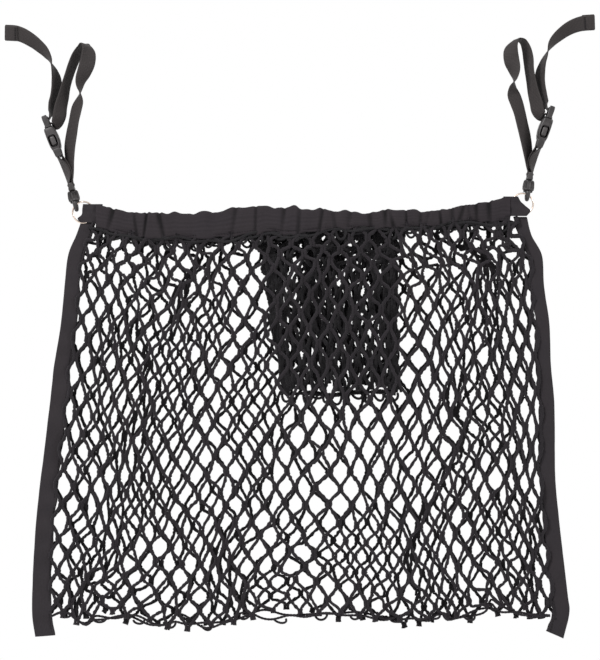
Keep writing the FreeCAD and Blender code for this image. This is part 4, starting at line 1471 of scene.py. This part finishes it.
    def across_row(self, index: int, face: int, share: float) -> np.ndarray:
        """A straight row across the strap on one of its faces.

        Args:
            index: Which point of the strap, counted from either end.
            face: 1 or -1.
            share: How much of the width it crosses.

        Returns:
            The row's points.
        """
        u = np.linspace(-share, share, 24)[:, None] * self.width / 2
        out = self.faces()[index] * face * (self.ply / 2 + THREAD_LIFT)
        return self.centre[index] + self.across[index] * u + out


@dataclass(frozen=True)
class HangerPlan:
    """Where one side's hanger runs: stations in millimetres and degrees, and its hardware."""

    side: Side
    buckle: tuple
    buckle_tilt: float
    hook: tuple
    hook_tilt: float
    leg: tuple
    tail: tuple
    turn: tuple = ((4, 8.8), (1.5, 9.1), (0, 9.05), (-1.6, 8.4), (-2.25, 6.8), (-1.6, 5.2),
                   (0, 4.5), (1.5, 4.4), (4.3, 3.1), (5.6, 0.8))

    def buckle_place(self) -> Matrix:
        """Where the buckle's ladder end is."""
        return leaning(self.buckle, self.buckle_tilt)

    def hook_place(self) -> Matrix:
        """Where the top of the hook's eye is."""
        return leaning(self.hook, self.hook_tilt)

    def stations(self) -> list[tuple]:
        """The whole long strap's stations, round the ladder's middle bar."""
        place, sign = self.buckle_place(), -self.side.value
        bar = [place @ Vector((sign * across * MM, 0, -drop * MM)) / MM
               for across, drop in self.turn]
        return [*self.leg, *((spot.x, spot.y, spot.z, 90) for spot in bar), *self.tail]


LEFT_HANGER = HangerPlan(
    Side.LEFT, (-258.5, 0, -76.5), -20.7, (-232.5, 0, -143), -13,
    leg=((-232.4, 0, -144.0, 104), (-232.0, 0, -138.5, 110), (-232.4, 0, -130, 119),
         (-233.2, 0, -120, 128),
         (-233.2, 0, -107, 137), (-231.4, 0, -94, 138), (-229.1, 0, -81, 134),
         (-226.5, 0, -69, 136), (-224.0, 0, -61, 126), (-223.1, 0, -54, 98),
         (-223.1, 0, -47, 70), (-221.8, -1, -39.5, 50), (-218.4, -2, -31.5, 32),
         (-215.4, -3, -23, 20), (-214.2, -4, -14, 32), (-215.2, -3, -7.5, 60),
         (-218.5, 0, -4.3, 88), (-222.5, 3, -7, 108), (-226.6, 4, -15, 122),
         (-230.6, 4, -24.5, 122), (-234.2, 4, -35, 120), (-237.4, 3, -46, 122),
         (-239.8, 2, -57, 130), (-242.2, 1, -66.5, 138), (-243.9, 0, -77.0, 142),
         (-247.4, 0, -85.4, 122)),
    tail=((-252.5, 1, -72, 75), (-250.5, 3, -65, 58), (-248.2, 5, -57, 54), (-247, 6, -48, 54),
          (-247, 6, -39.5, 56), (-248.7, 5, -32, 68), (-251.8, 3, -24, 90),
          (-254.6, 1, -17.5, 112), (-259.5, -1, -10.5, 128), (-266, -2, -4.5, 136),
          (-273, -3, 0.5, 144), (-280, -3, 4.4, 150), (-287.5, -3, 6.7, 156),
          (-296.5, -3, 7.2, 158)))

RIGHT_HANGER = HangerPlan(
    Side.RIGHT, (249, 0, -67), 18.4, (227.2, 0, -132.2), 7,
    leg=((226.9, 0, -133.4, 76), (226.2, 0, -128, 67), (225.4, 0, -119, 57),
         (224.2, 0, -108, 47),
         (222.0, 0, -95.5, 41), (219.3, 0, -84, 40), (216.6, 0, -72.5, 38),
         (213.8, 0, -63.5, 32), (211.0, 0, -55.5, 32), (210.2, 0, -49, 52),
         (210.8, 0, -43, 80), (211.4, -1, -36.5, 112), (210.6, -2, -28.5, 140),
         (208.4, -3, -20.5, 158), (207.6, -4, -12, 150), (209.6, -3, -4.5, 120),
         (214, 0, 0.5, 92), (220, 3, -1, 72), (223.6, 4, -8, 60), (225.6, 4, -18, 54),
         (226.6, 4, -29, 58), (228.4, 3, -41, 57), (230.4, 2, -52, 50), (233, 1, -62, 42),
         (235.1, 0, -70.5, 38), (238.7, 0, -76.6, 58)),
    tail=((243, 1, -63.5, 108), (240, 3, -56, 122), (238, 5, -48, 126), (237.2, 6, -39.5, 126),
          (238, 6, -31, 122), (240.4, 5, -22.5, 110), (243.4, 3, -15.5, 98),
          (245.4, 2, -10.5, 86), (248.4, 1, -4.4, 66), (253.4, -1, 1.8, 52),
          (260, -2, 7.5, 44), (267.5, -3, 12.2, 36), (275, -3, 15.2, 30), (282, -3, 16.6, 24),
          (290.3, -3, 17.2, 22)))


class Moulding:
    """A moulded part built up in its own frame, in millimetres, with drops measured downwards."""

    def __init__(self, name: str, place: Matrix) -> None:
        """Start an empty part.

        Args:
            name: The piece's name.
            place: Where its own origin is and how it leans.
        """
        self.name = name
        self.place = place
        self.cloth = Cloth()

    def _world(self, points: np.ndarray) -> np.ndarray:
        """Points in metres in the bag's frame."""
        matrix = np.array(self.place)
        return points * MM @ matrix[:3, :3].T + matrix[:3, 3]

    def loft(self, profile: Sequence[Sequence[float]], edge: float, power: float = 0.4,
             flutes: int = 0, relief: float = 0.0, sides: int = 48) -> "Moulding":
        """Add a rounded block whose section changes with the drop.

        Args:
            profile: Rows of drop, half x, half y, middle x and middle y.
            edge: How round its two ends are.
            power: How square its section is, from 1 for an oval down towards 0.
            flutes: How many grooves run down it.
            relief: How deep they are.
            sides: How many faces it has round it.

        Returns:
            This part.
        """
        table = np.asarray(profile, float)
        low, high = table[0, 0], table[-1, 0]
        turn = np.linspace(0, math.pi / 2, 6)
        near = edge * (1 - np.cos(turn))
        drops = np.unique(np.concatenate([low + near, np.linspace(low + edge, high - edge, 9),
                                          high - near, table[1:-1, 0]]).round(4))
        reach = np.clip(np.minimum(drops - low, high - drops), 0, edge)
        inset = edge - np.sqrt(np.clip(edge ** 2 - (edge - reach) ** 2, 0, None))
        half_x, half_y, mid_x, mid_y = (np.interp(drops, table[:, 0], table[:, k])
                                        for k in range(1, 5))
        angle = np.linspace(0, 2 * math.pi, sides, endpoint=False)
        c, s = np.cos(angle), np.sin(angle)
        fade = np.clip(np.minimum(drops - low, high - drops) / 1.2 - 0.6, 0, 1)
        groove = relief * fade[:, None] * (0.5 + 0.5 * np.cos(flutes * angle))[None]
        x = mid_x[:, None] + (half_x - inset)[:, None] * np.sign(c) * np.abs(c) ** power
        y = mid_y[:, None] + (half_y - inset)[:, None] * np.sign(s) * np.abs(s) ** power
        x, y = x - groove * c, y - groove * s
        points = np.stack([x, y, np.broadcast_to(-drops[:, None], x.shape)], axis=-1)
        start = self.cloth.count
        self.cloth.grid(self._world(points), np.append(drops, high) * MM,
                        np.linspace(0, 0.04, sides + 1), closed_across=True)
        self.cloth.close_ends(start, sides, len(drops))
        return self

    def rod(self, path: Sequence[Sequence[float]], radius: float | Sequence[float],
            toward: Sequence[float] = (0, 0, 1), sides: int = 20) -> "Moulding":
        """Add a round rod through some points.

        Args:
            path: The points, in the part's own frame.
            radius: Its radius, or one at each point.
            toward: A direction that isn't along it.
            sides: How many faces it has round it.

        Returns:
            This part.
        """
        points = np.asarray(path, float)
        size = np.broadcast_to(np.asarray(radius, float) * MM, len(points)).copy()
        self.cloth.tube(self._world(points), size, size, sides=sides, toward=toward)
        return self

    def crossbar(self, radius: float, half: float, drop: float) -> "Moulding":
        """Add a bar along Y with softly rounded ends."""
        y = half * np.array([-1, -0.985, -0.95, -0.5, 0, 0.5, 0.95, 0.985, 1])
        path = np.stack([np.zeros(9), y, np.full(9, -drop)], axis=1)
        size = radius * np.array([0.72, 0.92, 1, 1, 1, 1, 1, 0.92, 0.72])
        return self.rod(path, size, toward=(1, 0, 0))

    def build(self, cutters: Sequence["Moulding"] = ()) -> bpy.types.Object:
        """Make the part.

        Args:
            cutters: Parts to take away from it.

        Returns:
            The part, with its sharp edges kept.
        """
        piece = self.cloth.piece(self.name)
        for cutter in cutters:
            tool = cutter.cloth.piece(cutter.name)
            cut = piece.modifiers.new("cut", "BOOLEAN")
            cut.object, cut.operation, cut.solver = tool, "DIFFERENCE", "EXACT"
            bpy.context.view_layer.update()
            made = bpy.data.meshes.new_from_object(
                piece.evaluated_get(bpy.context.evaluated_depsgraph_get()))
            piece.modifiers.clear()
            piece.data = made
            bpy.data.objects.remove(tool)
        piece.data.shade_smooth()
        piece.data.set_sharp_from_angle(angle=math.radians(38))
        return piece


class Buckle:
    """A side-release buckle: ladder, hollow socket and two sprung arms."""

    def __init__(self, word: str, place: Matrix, outward: int) -> None:
        """Keep where it is.

        Args:
            word: Which side it is on.
            place: The ladder end's place.
            outward: Which way its plumper long side faces, along its own X.
        """
        self.word = word
        self.place = place
        self.outward = outward

    def part(self, name: str) -> Moulding:
        """Start one of its parts."""
        return Moulding(f"{self.word}_{name}", self.place)

    def ladder(self) -> bpy.types.Object:
        """The half that the strap is threaded through."""
        part = self.part("ladder_moulding")
        for y in (-9.9, 9.9):
            part.loft(((-0.2, 2.5, 1.25, 0, y), (3, 2.9, 1.3, 0, y), (9, 2.7, 1.3, 0, y),
                       (11.2, 2.6, 1.3, 0, y)), 0.8, 0.5, sides=24)
        part.crossbar(1.45, 10.9, 1.5).crossbar(1.25, 10.4, 6.8)
        part.loft(((10.4, 3.3, 11.1, 0, 0), (12.1, 3.6, 11.1, 0, 0)), 0.4, 0.3)
        part.loft(((11.8, 1.7, 1.7, 0, 0), (30.5, 1.5, 1.5, 0, 0)), 0.6, 0.5, sides=16)
        return part.build()

    def socket(self) -> bpy.types.Object:
        """The half that takes the arms, with an oval window in each face."""
        lean = self.outward
        part = self.part("socket_moulding")
        part.loft(((12.4, 4.7, 10.7, 0, 0), (15, 5.4, 11.15, 0.1 * lean, 0),
                   (21, 5.9, 11.25, 0.45 * lean, 0), (27, 5.85, 11.25, 0.5 * lean, 0),
                   (32, 5.3, 11.2, 0.25 * lean, 0), (35.6, 4.2, 11.0, 0, 0)), 0.9, 0.32, sides=72)
        room = self.part("room").loft(((11.0, 3.5, 9.75, 0, 0), (33.4, 3.4, 9.75, 0, 0)), 0.5, 0.3)
        tools = [room]
        for y in (-10.4, 10.4):
            tools.append(self.part("window").loft(
                ((20.3, 2.2, 2.6, 0, y), (22, 3.75, 2.6, 0, y), (26.5, 4.1, 2.6, 0, y),
                 (31, 3.75, 2.6, 0, y), (32.7, 2.2, 2.6, 0, y)), 0.1, 0.18, sides=40))
        shell = part.build(tools)
        foot = self.part("socket_foot")
        for y in (-9.9, 9.9):
            foot.loft(((34.6, 3.9, 1.25, 0, y), (38, 3.7, 1.3, 0, y), (43.3, 3.1, 1.25, 0, y)),
                      1.1, 0.5, sides=28)
        foot.crossbar(1.75, 10.9, 41.4)
        return join(shell, foot.build())

    def arm(self, face: Face) -> bpy.types.Object:
        """A sprung arm and the thumb pad that fills its window."""
        y = face.value
        part = self.part(f"arm_{face.word}_moulding")
        part.loft(((12.35, 2.3, 0.6, 0, 7.6 * y), (31.9, 2.3, 0.6, 0, 7.6 * y)), 0.3, 0.4, sides=20)
        part.loft(((22.0, 2.3, 1.6, 0, 9.35 * y), (24, 2.55, 1.75, 0, 9.35 * y),
                   (29, 2.55, 1.75, 0, 9.35 * y), (31.0, 2.3, 1.6, 0, 9.35 * y)), 1.2, 0.6)
        return part.build()


def join(first: bpy.types.Object, second: bpy.types.Object) -> bpy.types.Object:
    """Make two meshes one piece, named after the first."""
    shape = bmesh.new()
    shape.from_mesh(first.data)
    shape.from_mesh(second.data)
    shape.to_mesh(first.data)
    shape.free()
    bpy.data.objects.remove(second)
    return first


class Hook:
    """A swivel snap hook: the webbing's eye, and the grooved body with its crook."""

    def __init__(self, word: str, place: Matrix) -> None:
        """Keep where it is.

        Args:
            word: Which side it is on.
            place: The place of its eye's top.
        """
        self.word = word
        self.place = place

    def eye(self) -> bpy.types.Object:
        """The eye, down to the collar that the body turns under."""
        part = Moulding(f"{self.word}_eye_moulding", self.place)
        part.crossbar(1.75, 10.9, 1.9)
        for y in (-9.9, 9.9):
            part.loft(((0.4, 2.2, 1.25, 0, y), (4.5, 2.6, 1.3, 0, y), (7.6, 2.7, 1.3, 0, y)),
                      0.7, 0.5, sides=24)
        part.loft(((4.9, 3.0, 11.0, 0, 0), (7.75, 3.2, 11.0, 0, 0)), 0.7, 0.35)
        return part.build()

    def body(self) -> bpy.types.Object:
        """The grooved body, its two cheeks and the crook."""
        part = Moulding(f"{self.word}_hook_moulding", self.place)
        part.loft(((8.1, 4.5, 5.3, 0, 0), (10, 5.4, 5.7, 0, 0), (15, 5.9, 5.8, 0, 0),
                   (18.4, 5.6, 5.5, 0, 0)), 0.7, 0.72, flutes=16, relief=0.8, sides=96)
        room = Moulding("gate_room", self.place).loft(
            ((13.5, 2.2, 2.1, 0, -2.4), (19.5, 2.2, 2.1, 0, -2.4)), 0.2, 0.2, sides=24)
        shell = part.build([room])
        lower = Moulding("crook", self.place)
        for x in (-3.75, 3.75):
            lower.loft(((15.6, 1.2, 4.3, x, 0.6), (18, 1.1, 4.0, x * 0.98, 0.9),
                        (20.4, 0.9, 3.4, x * 0.93, 1.3)),
                       0.6, 0.55, flutes=10, relief=0.2, sides=40)
        turn = np.linspace(0, math.pi, 22)
        bend = [(0, 6.4 * math.cos(a), -21 - 6.4 * math.sin(a)) for a in turn]
        path = [(0, 6.4, -13.4), (0, 6.4, -15), (0, 6.4, -17), (0, 6.4, -19), *bend,
                (0, -6.4, -19.9), (0, -6.4, -19.2), (0, -6.4, -18.85)]
        size = [2.0, 2.3, 2.35, 2.35, *(2.35 - 0.25 * math.sin(a) for a in turn), 2.2, 1.8, 1.1]
        lower.rod(path, size, toward=(1, 0, 0))
        return join(shell, lower.build())


@dataclass
class Ring:
    """A wire ring closed with a butt joint."""

    side: Side
    centre: tuple
    radius: float = 10.6 * MM
    wire: float = 0.8 * MM

    def build(self) -> bpy.types.Object:
        """Make the ring.

        Returns:
            The ring.
        """
        angle = np.linspace(0, 2 * math.pi, 120, endpoint=False)
        joint = 1 + 0.12 * np.exp(-((angle - math.pi / 2) / 0.09) ** 2)
        centre = np.array(self.centre) * MM
        path = np.stack([centre[0] + self.radius * np.cos(angle), np.zeros(120),
                         centre[2] + self.radius * np.sin(angle)], axis=1)
        cloth = Cloth()
        cloth.tube(path, self.wire * joint, self.wire * joint, sides=12, closed=True)
        return cloth.piece(f"{self.side.word}_wire_ring")


# ---------------------------------------------------------------------------------------------
# Assembly
# ---------------------------------------------------------------------------------------------


class Workshop:
    """Puts pieces on their bodies, dressed."""

    def __init__(self) -> None:
        """Make the finishes and read the bag's outline."""
        self.wardrobe = Wardrobe()
        self.shape = BagShape()

    def fit(self, piece: bpy.types.Object, body: str, slot: str,
            nodes: Sequence[str] = (), finish: str = "") -> bpy.types.Object:
        """Dress a piece, put it on its body and let it stand for some nodes.

        Args:
            piece: The piece, in place.
            body: The body that it moves with.
            slot: The record's slot for its finish.
            nodes: The nodes that it stands for.
            finish: Another finish to wear, where it isn't the slot's usual one.

        Returns:
            The same piece.
        """
        self.wardrobe.dress(piece, slot, finish)
        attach(piece, body)
        if nodes:
            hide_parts(*nodes)
        LOG.info("%s rides on %s", piece.name, body)
        return piece

    @staticmethod
    def half_surface(piece: bpy.types.Object) -> float:
        """Half a piece's surface, which is a thin piece's one-sided area."""
        return sum(face.area for face in piece.data.polygons) / 2


class Bag:
    """The sewn bag: nets, mouth, side tapes, foot and inner pocket."""

    def __init__(self, shop: Workshop) -> None:
        """Keep the workshop."""
        self.shop = shop
        self.shape = shop.shape

    def build(self) -> None:
        """Make every piece of the bag."""
        self.nets()
        self.mouth()
        self.sides()
        self.foot()
        self.pocket()

    def net_sheet(self, piece: bpy.types.Object, flat: tuple[float, float]) -> None:
        """Log a net's cord area beside its flat area."""
        area = Workshop.half_surface(piece)
        LOG.info("%s: cord area %.4f of %.4f", piece.name, area, flat[0] * flat[1])

    def nets(self) -> None:
        """The front and back layers, of the same lattice but hung differently; the back wears a
        darker yarn as painted shade.
        """
        shape = self.shape
        for face, seed, sway in ((Face.FRONT, 11, 0.0056), (Face.BACK, 57, 0.0080)):
            net = Netting(
                f"{face.word}_netting", seed, columns=28, rows=24, sway=sway,
                left=lambda z: shape.inner(Side.LEFT, z) - 0.004,
                right=lambda z: shape.inner(Side.RIGHT, z) + 0.004,
                high=lambda x: shape.foot(x) + 0.003,
                low=lambda x: shape.hem(x) + 0.0032,
                out=lambda x, z, face=face: face.value * shape.depth(x, z),
                column_widths=(0.84, 0.98, 0.97, 1.12, 1.14, 0.98, 0.88, 0.66),
                row_heights=(0.40, 0.9, 1.1, 1.1, 1.05, 0.95, 0.85),
                clumps=((-0.222, -0.55, 0.02, 0.03, 0.7), (0.197, -0.52, 0.022, 0.03, 0.6)))
            # painted shade: the back layer wears the darker copy of the net yarn
            piece = self.shop.fit(net.build(), "bag", "net_cord", (f"{face.word}_net",),
                                  "back_cord" if face is Face.BACK else "")
            self.net_sheet(piece, (0.50, 0.39))
            x = np.arange(-0.214, 0.2165, 0.0016)
            z = shape.foot(x) - 0.0012
            line = np.stack([x, face.value * (shape.depth(x, z) - 0.0012), z], axis=1)
            heading = LooseEdge(f"{face.word}_net_heading", line, seed + 60, cords=4, sway=0.0018,
                                cord=0.00125, loop_count=30, loop_drop=0.0078, loop_width=0.012)
            # painted shade: the heading along the mouth tape's foot wears the darker copy of the
            # net yarn
            self.shop.fit(heading.build(), "bag", "net_cord", (), "pocket_cord")

    def mouth(self) -> None:
        """The casings and their stitches."""
        for face, seed in ((Face.FRONT, 21), (Face.BACK, 34)):
            tape = MouthTape(self.shape, face, seed)
            piece = self.shop.fit(tape.build(), "bag", "band_tape", (f"{face.word}_band_casing",))
            stitches = Stitches(f"{face.word}_mouth_stitches")
            stitches.row(tape.seam(), 2.6 * MM, toward=(0, face.value, 0))
            self.shop.fit(stitches.build(), "bag", "thread")
            strip = self.shop.fit(tape.elastic(), "bag", "elastic", (f"{face.word}_elastic",))

    def sides(self) -> None:
        """The side tapes, their stitches and the ring tabs."""
        tabs = {Side.LEFT: ((219.6, -164.2), (220.3, -169), (221, -174.5), (225, -178.6),
                            (222.6, -182.5)),
                Side.RIGHT: ((214.6, -156.6), (217.4, -161.5), (221.6, -165.4), (227, -170.6),
                             (223.4, -176))}
        for side, seed, top, foot, slant in ((Side.LEFT, 41, -0.1810, -0.5965, 0.0015),
                                             (Side.RIGHT, 47, -0.1768, -0.5985, 0.0075)):
            tape = SideTape(self.shape, side, seed, top, foot, slant=slant)
            piece = self.shop.fit(tape.build(), "bag", "side_tape", (f"{side.word}_side_binding",))
            stitches = Stitches(f"{side.word}_side_stitches")
            for face in Face:
                stitches.row(tape.seam(face), 2.8 * MM, toward=(0, face.value, 0))
            self.shop.fit(stitches.build(), "bag", "thread")
            tab = RingTab(side, seed + 1, tabs[side])
            piece = self.shop.fit(tab.build(), "bag", "side_tape", (f"{side.word}_ring_tab",))

    def foot(self) -> None:
        """The slack cords and loops along the bag's foot."""
        x = np.arange(-0.252, 0.2485, 0.0016)
        line = np.stack([x, np.zeros_like(x), self.shape.hem(x) + 0.0022], axis=1)
        edge = LooseEdge("foot_cords", line, 71, cords=2, sway=0.0022, cord=0.0012,
                         loop_count=14, loop_drop=0.0046, loop_width=0.012)
        self.shop.fit(edge.build(), "bag", "net_cord", ("bottom_selvedge",))

    def pocket(self) -> None:
        """The inner pocket's two layers, its gathered sides and its looped foot, in a darker yarn
        that paints the shade inside the bag.
        """
        lefts = ((-0.190, -0.0400), (-0.30, -0.0280), (-0.352, -0.0170))
        rights = ((-0.190, 0.0915), (-0.30, 0.093), (-0.352, 0.0925))
        edges = {Side.LEFT: np.array(lefts[::-1]), Side.RIGHT: np.array(rights[::-1])}

        def at(side: Side, z: np.ndarray) -> np.ndarray:
            """Where the pocket's edge is at a height."""
            return np.interp(z, edges[side][:, 0], edges[side][:, 1])

        def bulge(x: np.ndarray, z: np.ndarray) -> np.ndarray:
            """How far the pocket's layers stand from the middle plane."""
            share = (2 * x - at(Side.LEFT, z) - at(Side.RIGHT, z)) / 0.13
            return 0.0012 + 0.0058 * np.clip(1 - share ** 2, 0, 1)

        for face, seed in ((Face.FRONT, 81), (Face.BACK, 93)):
            net = Netting(
                f"pocket_{face.word}_netting", seed, columns=14, rows=14,
                left=lambda z: at(Side.LEFT, z), right=lambda z: at(Side.RIGHT, z),
                high=lambda x: np.full_like(x, -0.1875), low=lambda x: np.full_like(x, -0.3530),
                out=lambda x, z, face=face: face.value * bulge(x, z),
                column_widths=(0.45, 0.95, 1.15, 1.1, 0.9, 0.45),
                row_heights=(0.35, 0.8, 1.15, 1.3),
                sway=0.0048, jitter=0.0013, cord=0.00190)
            # painted shade: the pocket wears the darker copy of the net yarn
            piece = self.shop.fit(net.build(), "bag", "net_cord", (f"pocket_{face.word}_net",),
                                 "pocket_cord")
            self.net_sheet(piece, (0.13, 0.17))
        for side in Side:
            z = np.arange(-0.190, -0.3525, -0.0015)
            line = np.stack([at(side, z) - side.value * 0.001, np.zeros_like(z), z], axis=1)
            seam = GatheredSeam(f"pocket_{side.word}_seam_cords", line, 101 + side.value)
            self.shop.fit(seam.build(), "bag", "net_cord", (f"pocket_{side.word}_seam",),
                          "pocket_cord")
        x = np.arange(-0.018, 0.0935, 0.0014)
        line = np.stack([x, np.zeros_like(x), np.full_like(x, -0.3530)], axis=1)
        hem = LooseEdge("pocket_foot_cords", line, 111, cords=2, sway=0.0016, cord=0.0014,
                        loop_count=9, loop_drop=0.0095, loop_width=0.0125)
        self.shop.fit(hem.build(), "bag", "net_cord", ("pocket_bottom_hem",), "pocket_cord")


@dataclass
class GatheredSeam:
    """Net cords bunched and sewn along an upright line."""

    name: str
    line: np.ndarray
    seed: int
    cords: int = 4
    reach: float = 0.0024
    cord: float = 0.0014

    def build(self) -> bpy.types.Object:
        """Make the seam.

        Returns:
            The bunched cords as one mesh.
        """
        cloth = Cloth()
        z = self.line[:, 2]
        for number in range(self.cords):
            sideways = Ripple(self.seed + 7 * number, 0.07, 0.014)
            deep = Ripple(self.seed + 7 * number + 3, 0.06, 0.012)
            path = self.line.copy()
            path[:, 0] += self.reach * sideways.at(z)
            path[:, 1] += 0.0019 * deep.at(z).clip(-1.2, 1.2)
            radius = self.cord * knobbly(len(path))
            cloth.tube(path, radius, radius, sides=7)
        return cloth.piece(self.name)


class Hanger:
    """One side's strap, ring, buckle and hook."""

    def __init__(self, shop: Workshop, plan: HangerPlan, ring_centre: tuple) -> None:
        """Keep what it is built from.

        Args:
            shop: The workshop.
            plan: Where the strap and hardware are.
            ring_centre: The ring's centre, in millimetres.
        """
        self.shop = shop
        self.plan = plan
        self.ring_centre = ring_centre
        self.word = plan.side.word

    def build(self) -> None:
        """Make the hanger's pieces."""
        self.straps()
        ring = Ring(self.plan.side, self.ring_centre)
        self.shop.fit(ring.build(), f"{self.word}_ring", "ring_metal", (f"{self.word}_ring",))
        self.hardware()

    def straps(self) -> None:
        """The long strap with its hem and stitches, and the short looped strap."""
        long = Webbing.laid(f"{self.word}_webbing", self.plan.stations(), TAIL_HEM)
        piece = self.shop.fit(long.build(), "straps", "webbing", (f"{self.word}_long_strap",))
        stitches = Stitches(f"{self.word}_strap_thread", 0.0003)
        faces = long.faces()

        def sew(index: int, face: int, pitch: float = STITCH, share: float = 0.86) -> None:
            """Sew one row across the strap, on one of its faces."""
            stitches.row(long.across_row(index, face, share), pitch, toward=faces[index] * face)

        fold = int(TAIL_HEM / Webbing.step)
        for gap in (5, 8):
            for index, face in ((-gap, -1), (-gap, 1), (-2 * fold - 8 + gap, -1)):
                sew(index, face)
        for index in (6, 20):
            for face in (-1, 1):
                sew(index, face, TACK_STITCH, 0.6)
        thread = self.shop.fit(stitches.build(), "straps", "thread",
                               (f"{self.word}_strap_stitching",))
        long.length()
        upper = self.plan.buckle_place() @ Vector((0, 0, -41.4 * MM))
        lower = self.plan.hook_place() @ Vector((0, 0, -1.9 * MM))
        short = Webbing.looped(f"{self.word}_short_webbing", upper, lower, SHORT_LOOP, SHORT_PINCH,
                               -self.plan.side.value * SHORT_TWIST)
        piece = self.shop.fit(short.build(), "straps", "webbing", (f"{self.word}_short_strap",))
        short.length()

    def hardware(self) -> None:
        """The buckle's and the hook's own parts."""
        word, fit = self.word, self.shop.fit
        buckle = Buckle(word, self.plan.buckle_place(), -self.plan.side.value)
        fit(buckle.ladder(), "straps", "buckle_plastic", (f"{word}_buckle_ladder",))
        fit(buckle.socket(), "straps", "buckle_plastic", (f"{word}_buckle_socket",))
        for face in Face:
            fit(buckle.arm(face), f"{word}_arm_{face.word}", "buckle_plastic",
                (f"{word}_buckle_arm_{face.word}",), "buckle_pad")
        hook = Hook(word, self.plan.hook_place())
        fit(hook.eye(), "straps", "hook_plastic", (f"{word}_hook_eye",))
        fit(hook.body(), f"{word}_hook", "hook_plastic", (f"{word}_hook_body",))
        self.shop.wardrobe.dress(frame["nodes"][f"{word}_hook_gate"], "hook_plastic")
        self.shop.wardrobe.dress(frame["nodes"][f"{word}_hook_gate_pin"], "ring_metal")


@dataclass
class Studio:
    """The camera, the light and the floor."""

    camera_place: tuple = (-0.003, -3.0, -0.290)
    view_height: float = 0.66
    floor_level: float = -0.75

    def camera(self) -> None:
        """Look straight at the bag's front from far off."""
        data = bpy.data.cameras.new("camera")
        data.sensor_width = 36
        data.lens = 36 * abs(self.camera_place[1]) / self.view_height
        item = bpy.data.objects.new("camera", data)
        item.location = self.camera_place
        item.rotation_euler = (math.pi / 2, 0, 0)
        bpy.context.scene.collection.objects.link(item)
        bpy.context.scene.camera = item

    def light(self) -> None:
        """An even white surround, and a large soft lamp from the upper left."""
        scene = bpy.context.scene
        scene.view_settings.view_transform = "Standard"
        scene.world = bpy.data.worlds.new("surround")
        scene.world.use_nodes = True
        surround = scene.world.node_tree.nodes["Background"]
        surround.inputs["Color"].default_value = (1, 1, 1, 1)
        surround.inputs["Strength"].default_value = 1.0
        self.lamp("key", (-1.2, -1.6, 1.25), 0.6, 96)
        self.lamp("fill", (1.9, -1.2, 0.5), 0.7, 30)

    @staticmethod
    def lamp(name: str, place: tuple, size: float, power: float) -> None:
        """Hang a square lamp that faces the bag."""
        data = bpy.data.lights.new(name, "AREA")
        data.size, data.energy = size, power
        item = bpy.data.objects.new(name, data)
        item.location = place
        facing = Vector((0, 0, -0.3)) - Vector(place)
        item.rotation_euler = facing.to_track_quat("-Z", "Y").to_euler()
        bpy.context.scene.collection.objects.link(item)

    def floor(self) -> None:
        """A pale floor that ends behind the bag."""
        cloth = Cloth()
        x, y = np.meshgrid(np.linspace(-1.6, 1.6, 9), np.linspace(-1.6, 0.85, 9), indexing="ij")
        lip = 0.0015 * np.cos(x * 2) * np.cos(y * 2)
        points = np.stack([x, y, np.full_like(x, self.floor_level) + lip], axis=-1)
        cloth.grid(points, x[:, 0], y[0])
        piece = cloth.piece("studio_floor")
        piece.data.materials.append(StudioFinish().make())


def main() -> None:
    """Build the whole scene."""
    logging.basicConfig(level=logging.INFO, format="%(name)s: %(message)s")
    studio = Studio()
    studio.camera()
    studio.light()
    shop = Workshop()
    Bag(shop).build()
    Hanger(shop, LEFT_HANGER, (-219.7, 0, -172.3)).build()
    Hanger(shop, RIGHT_HANGER, (219.5, 0, -164)).build()
    studio.floor()


if __name__ == "__main__":
    main()
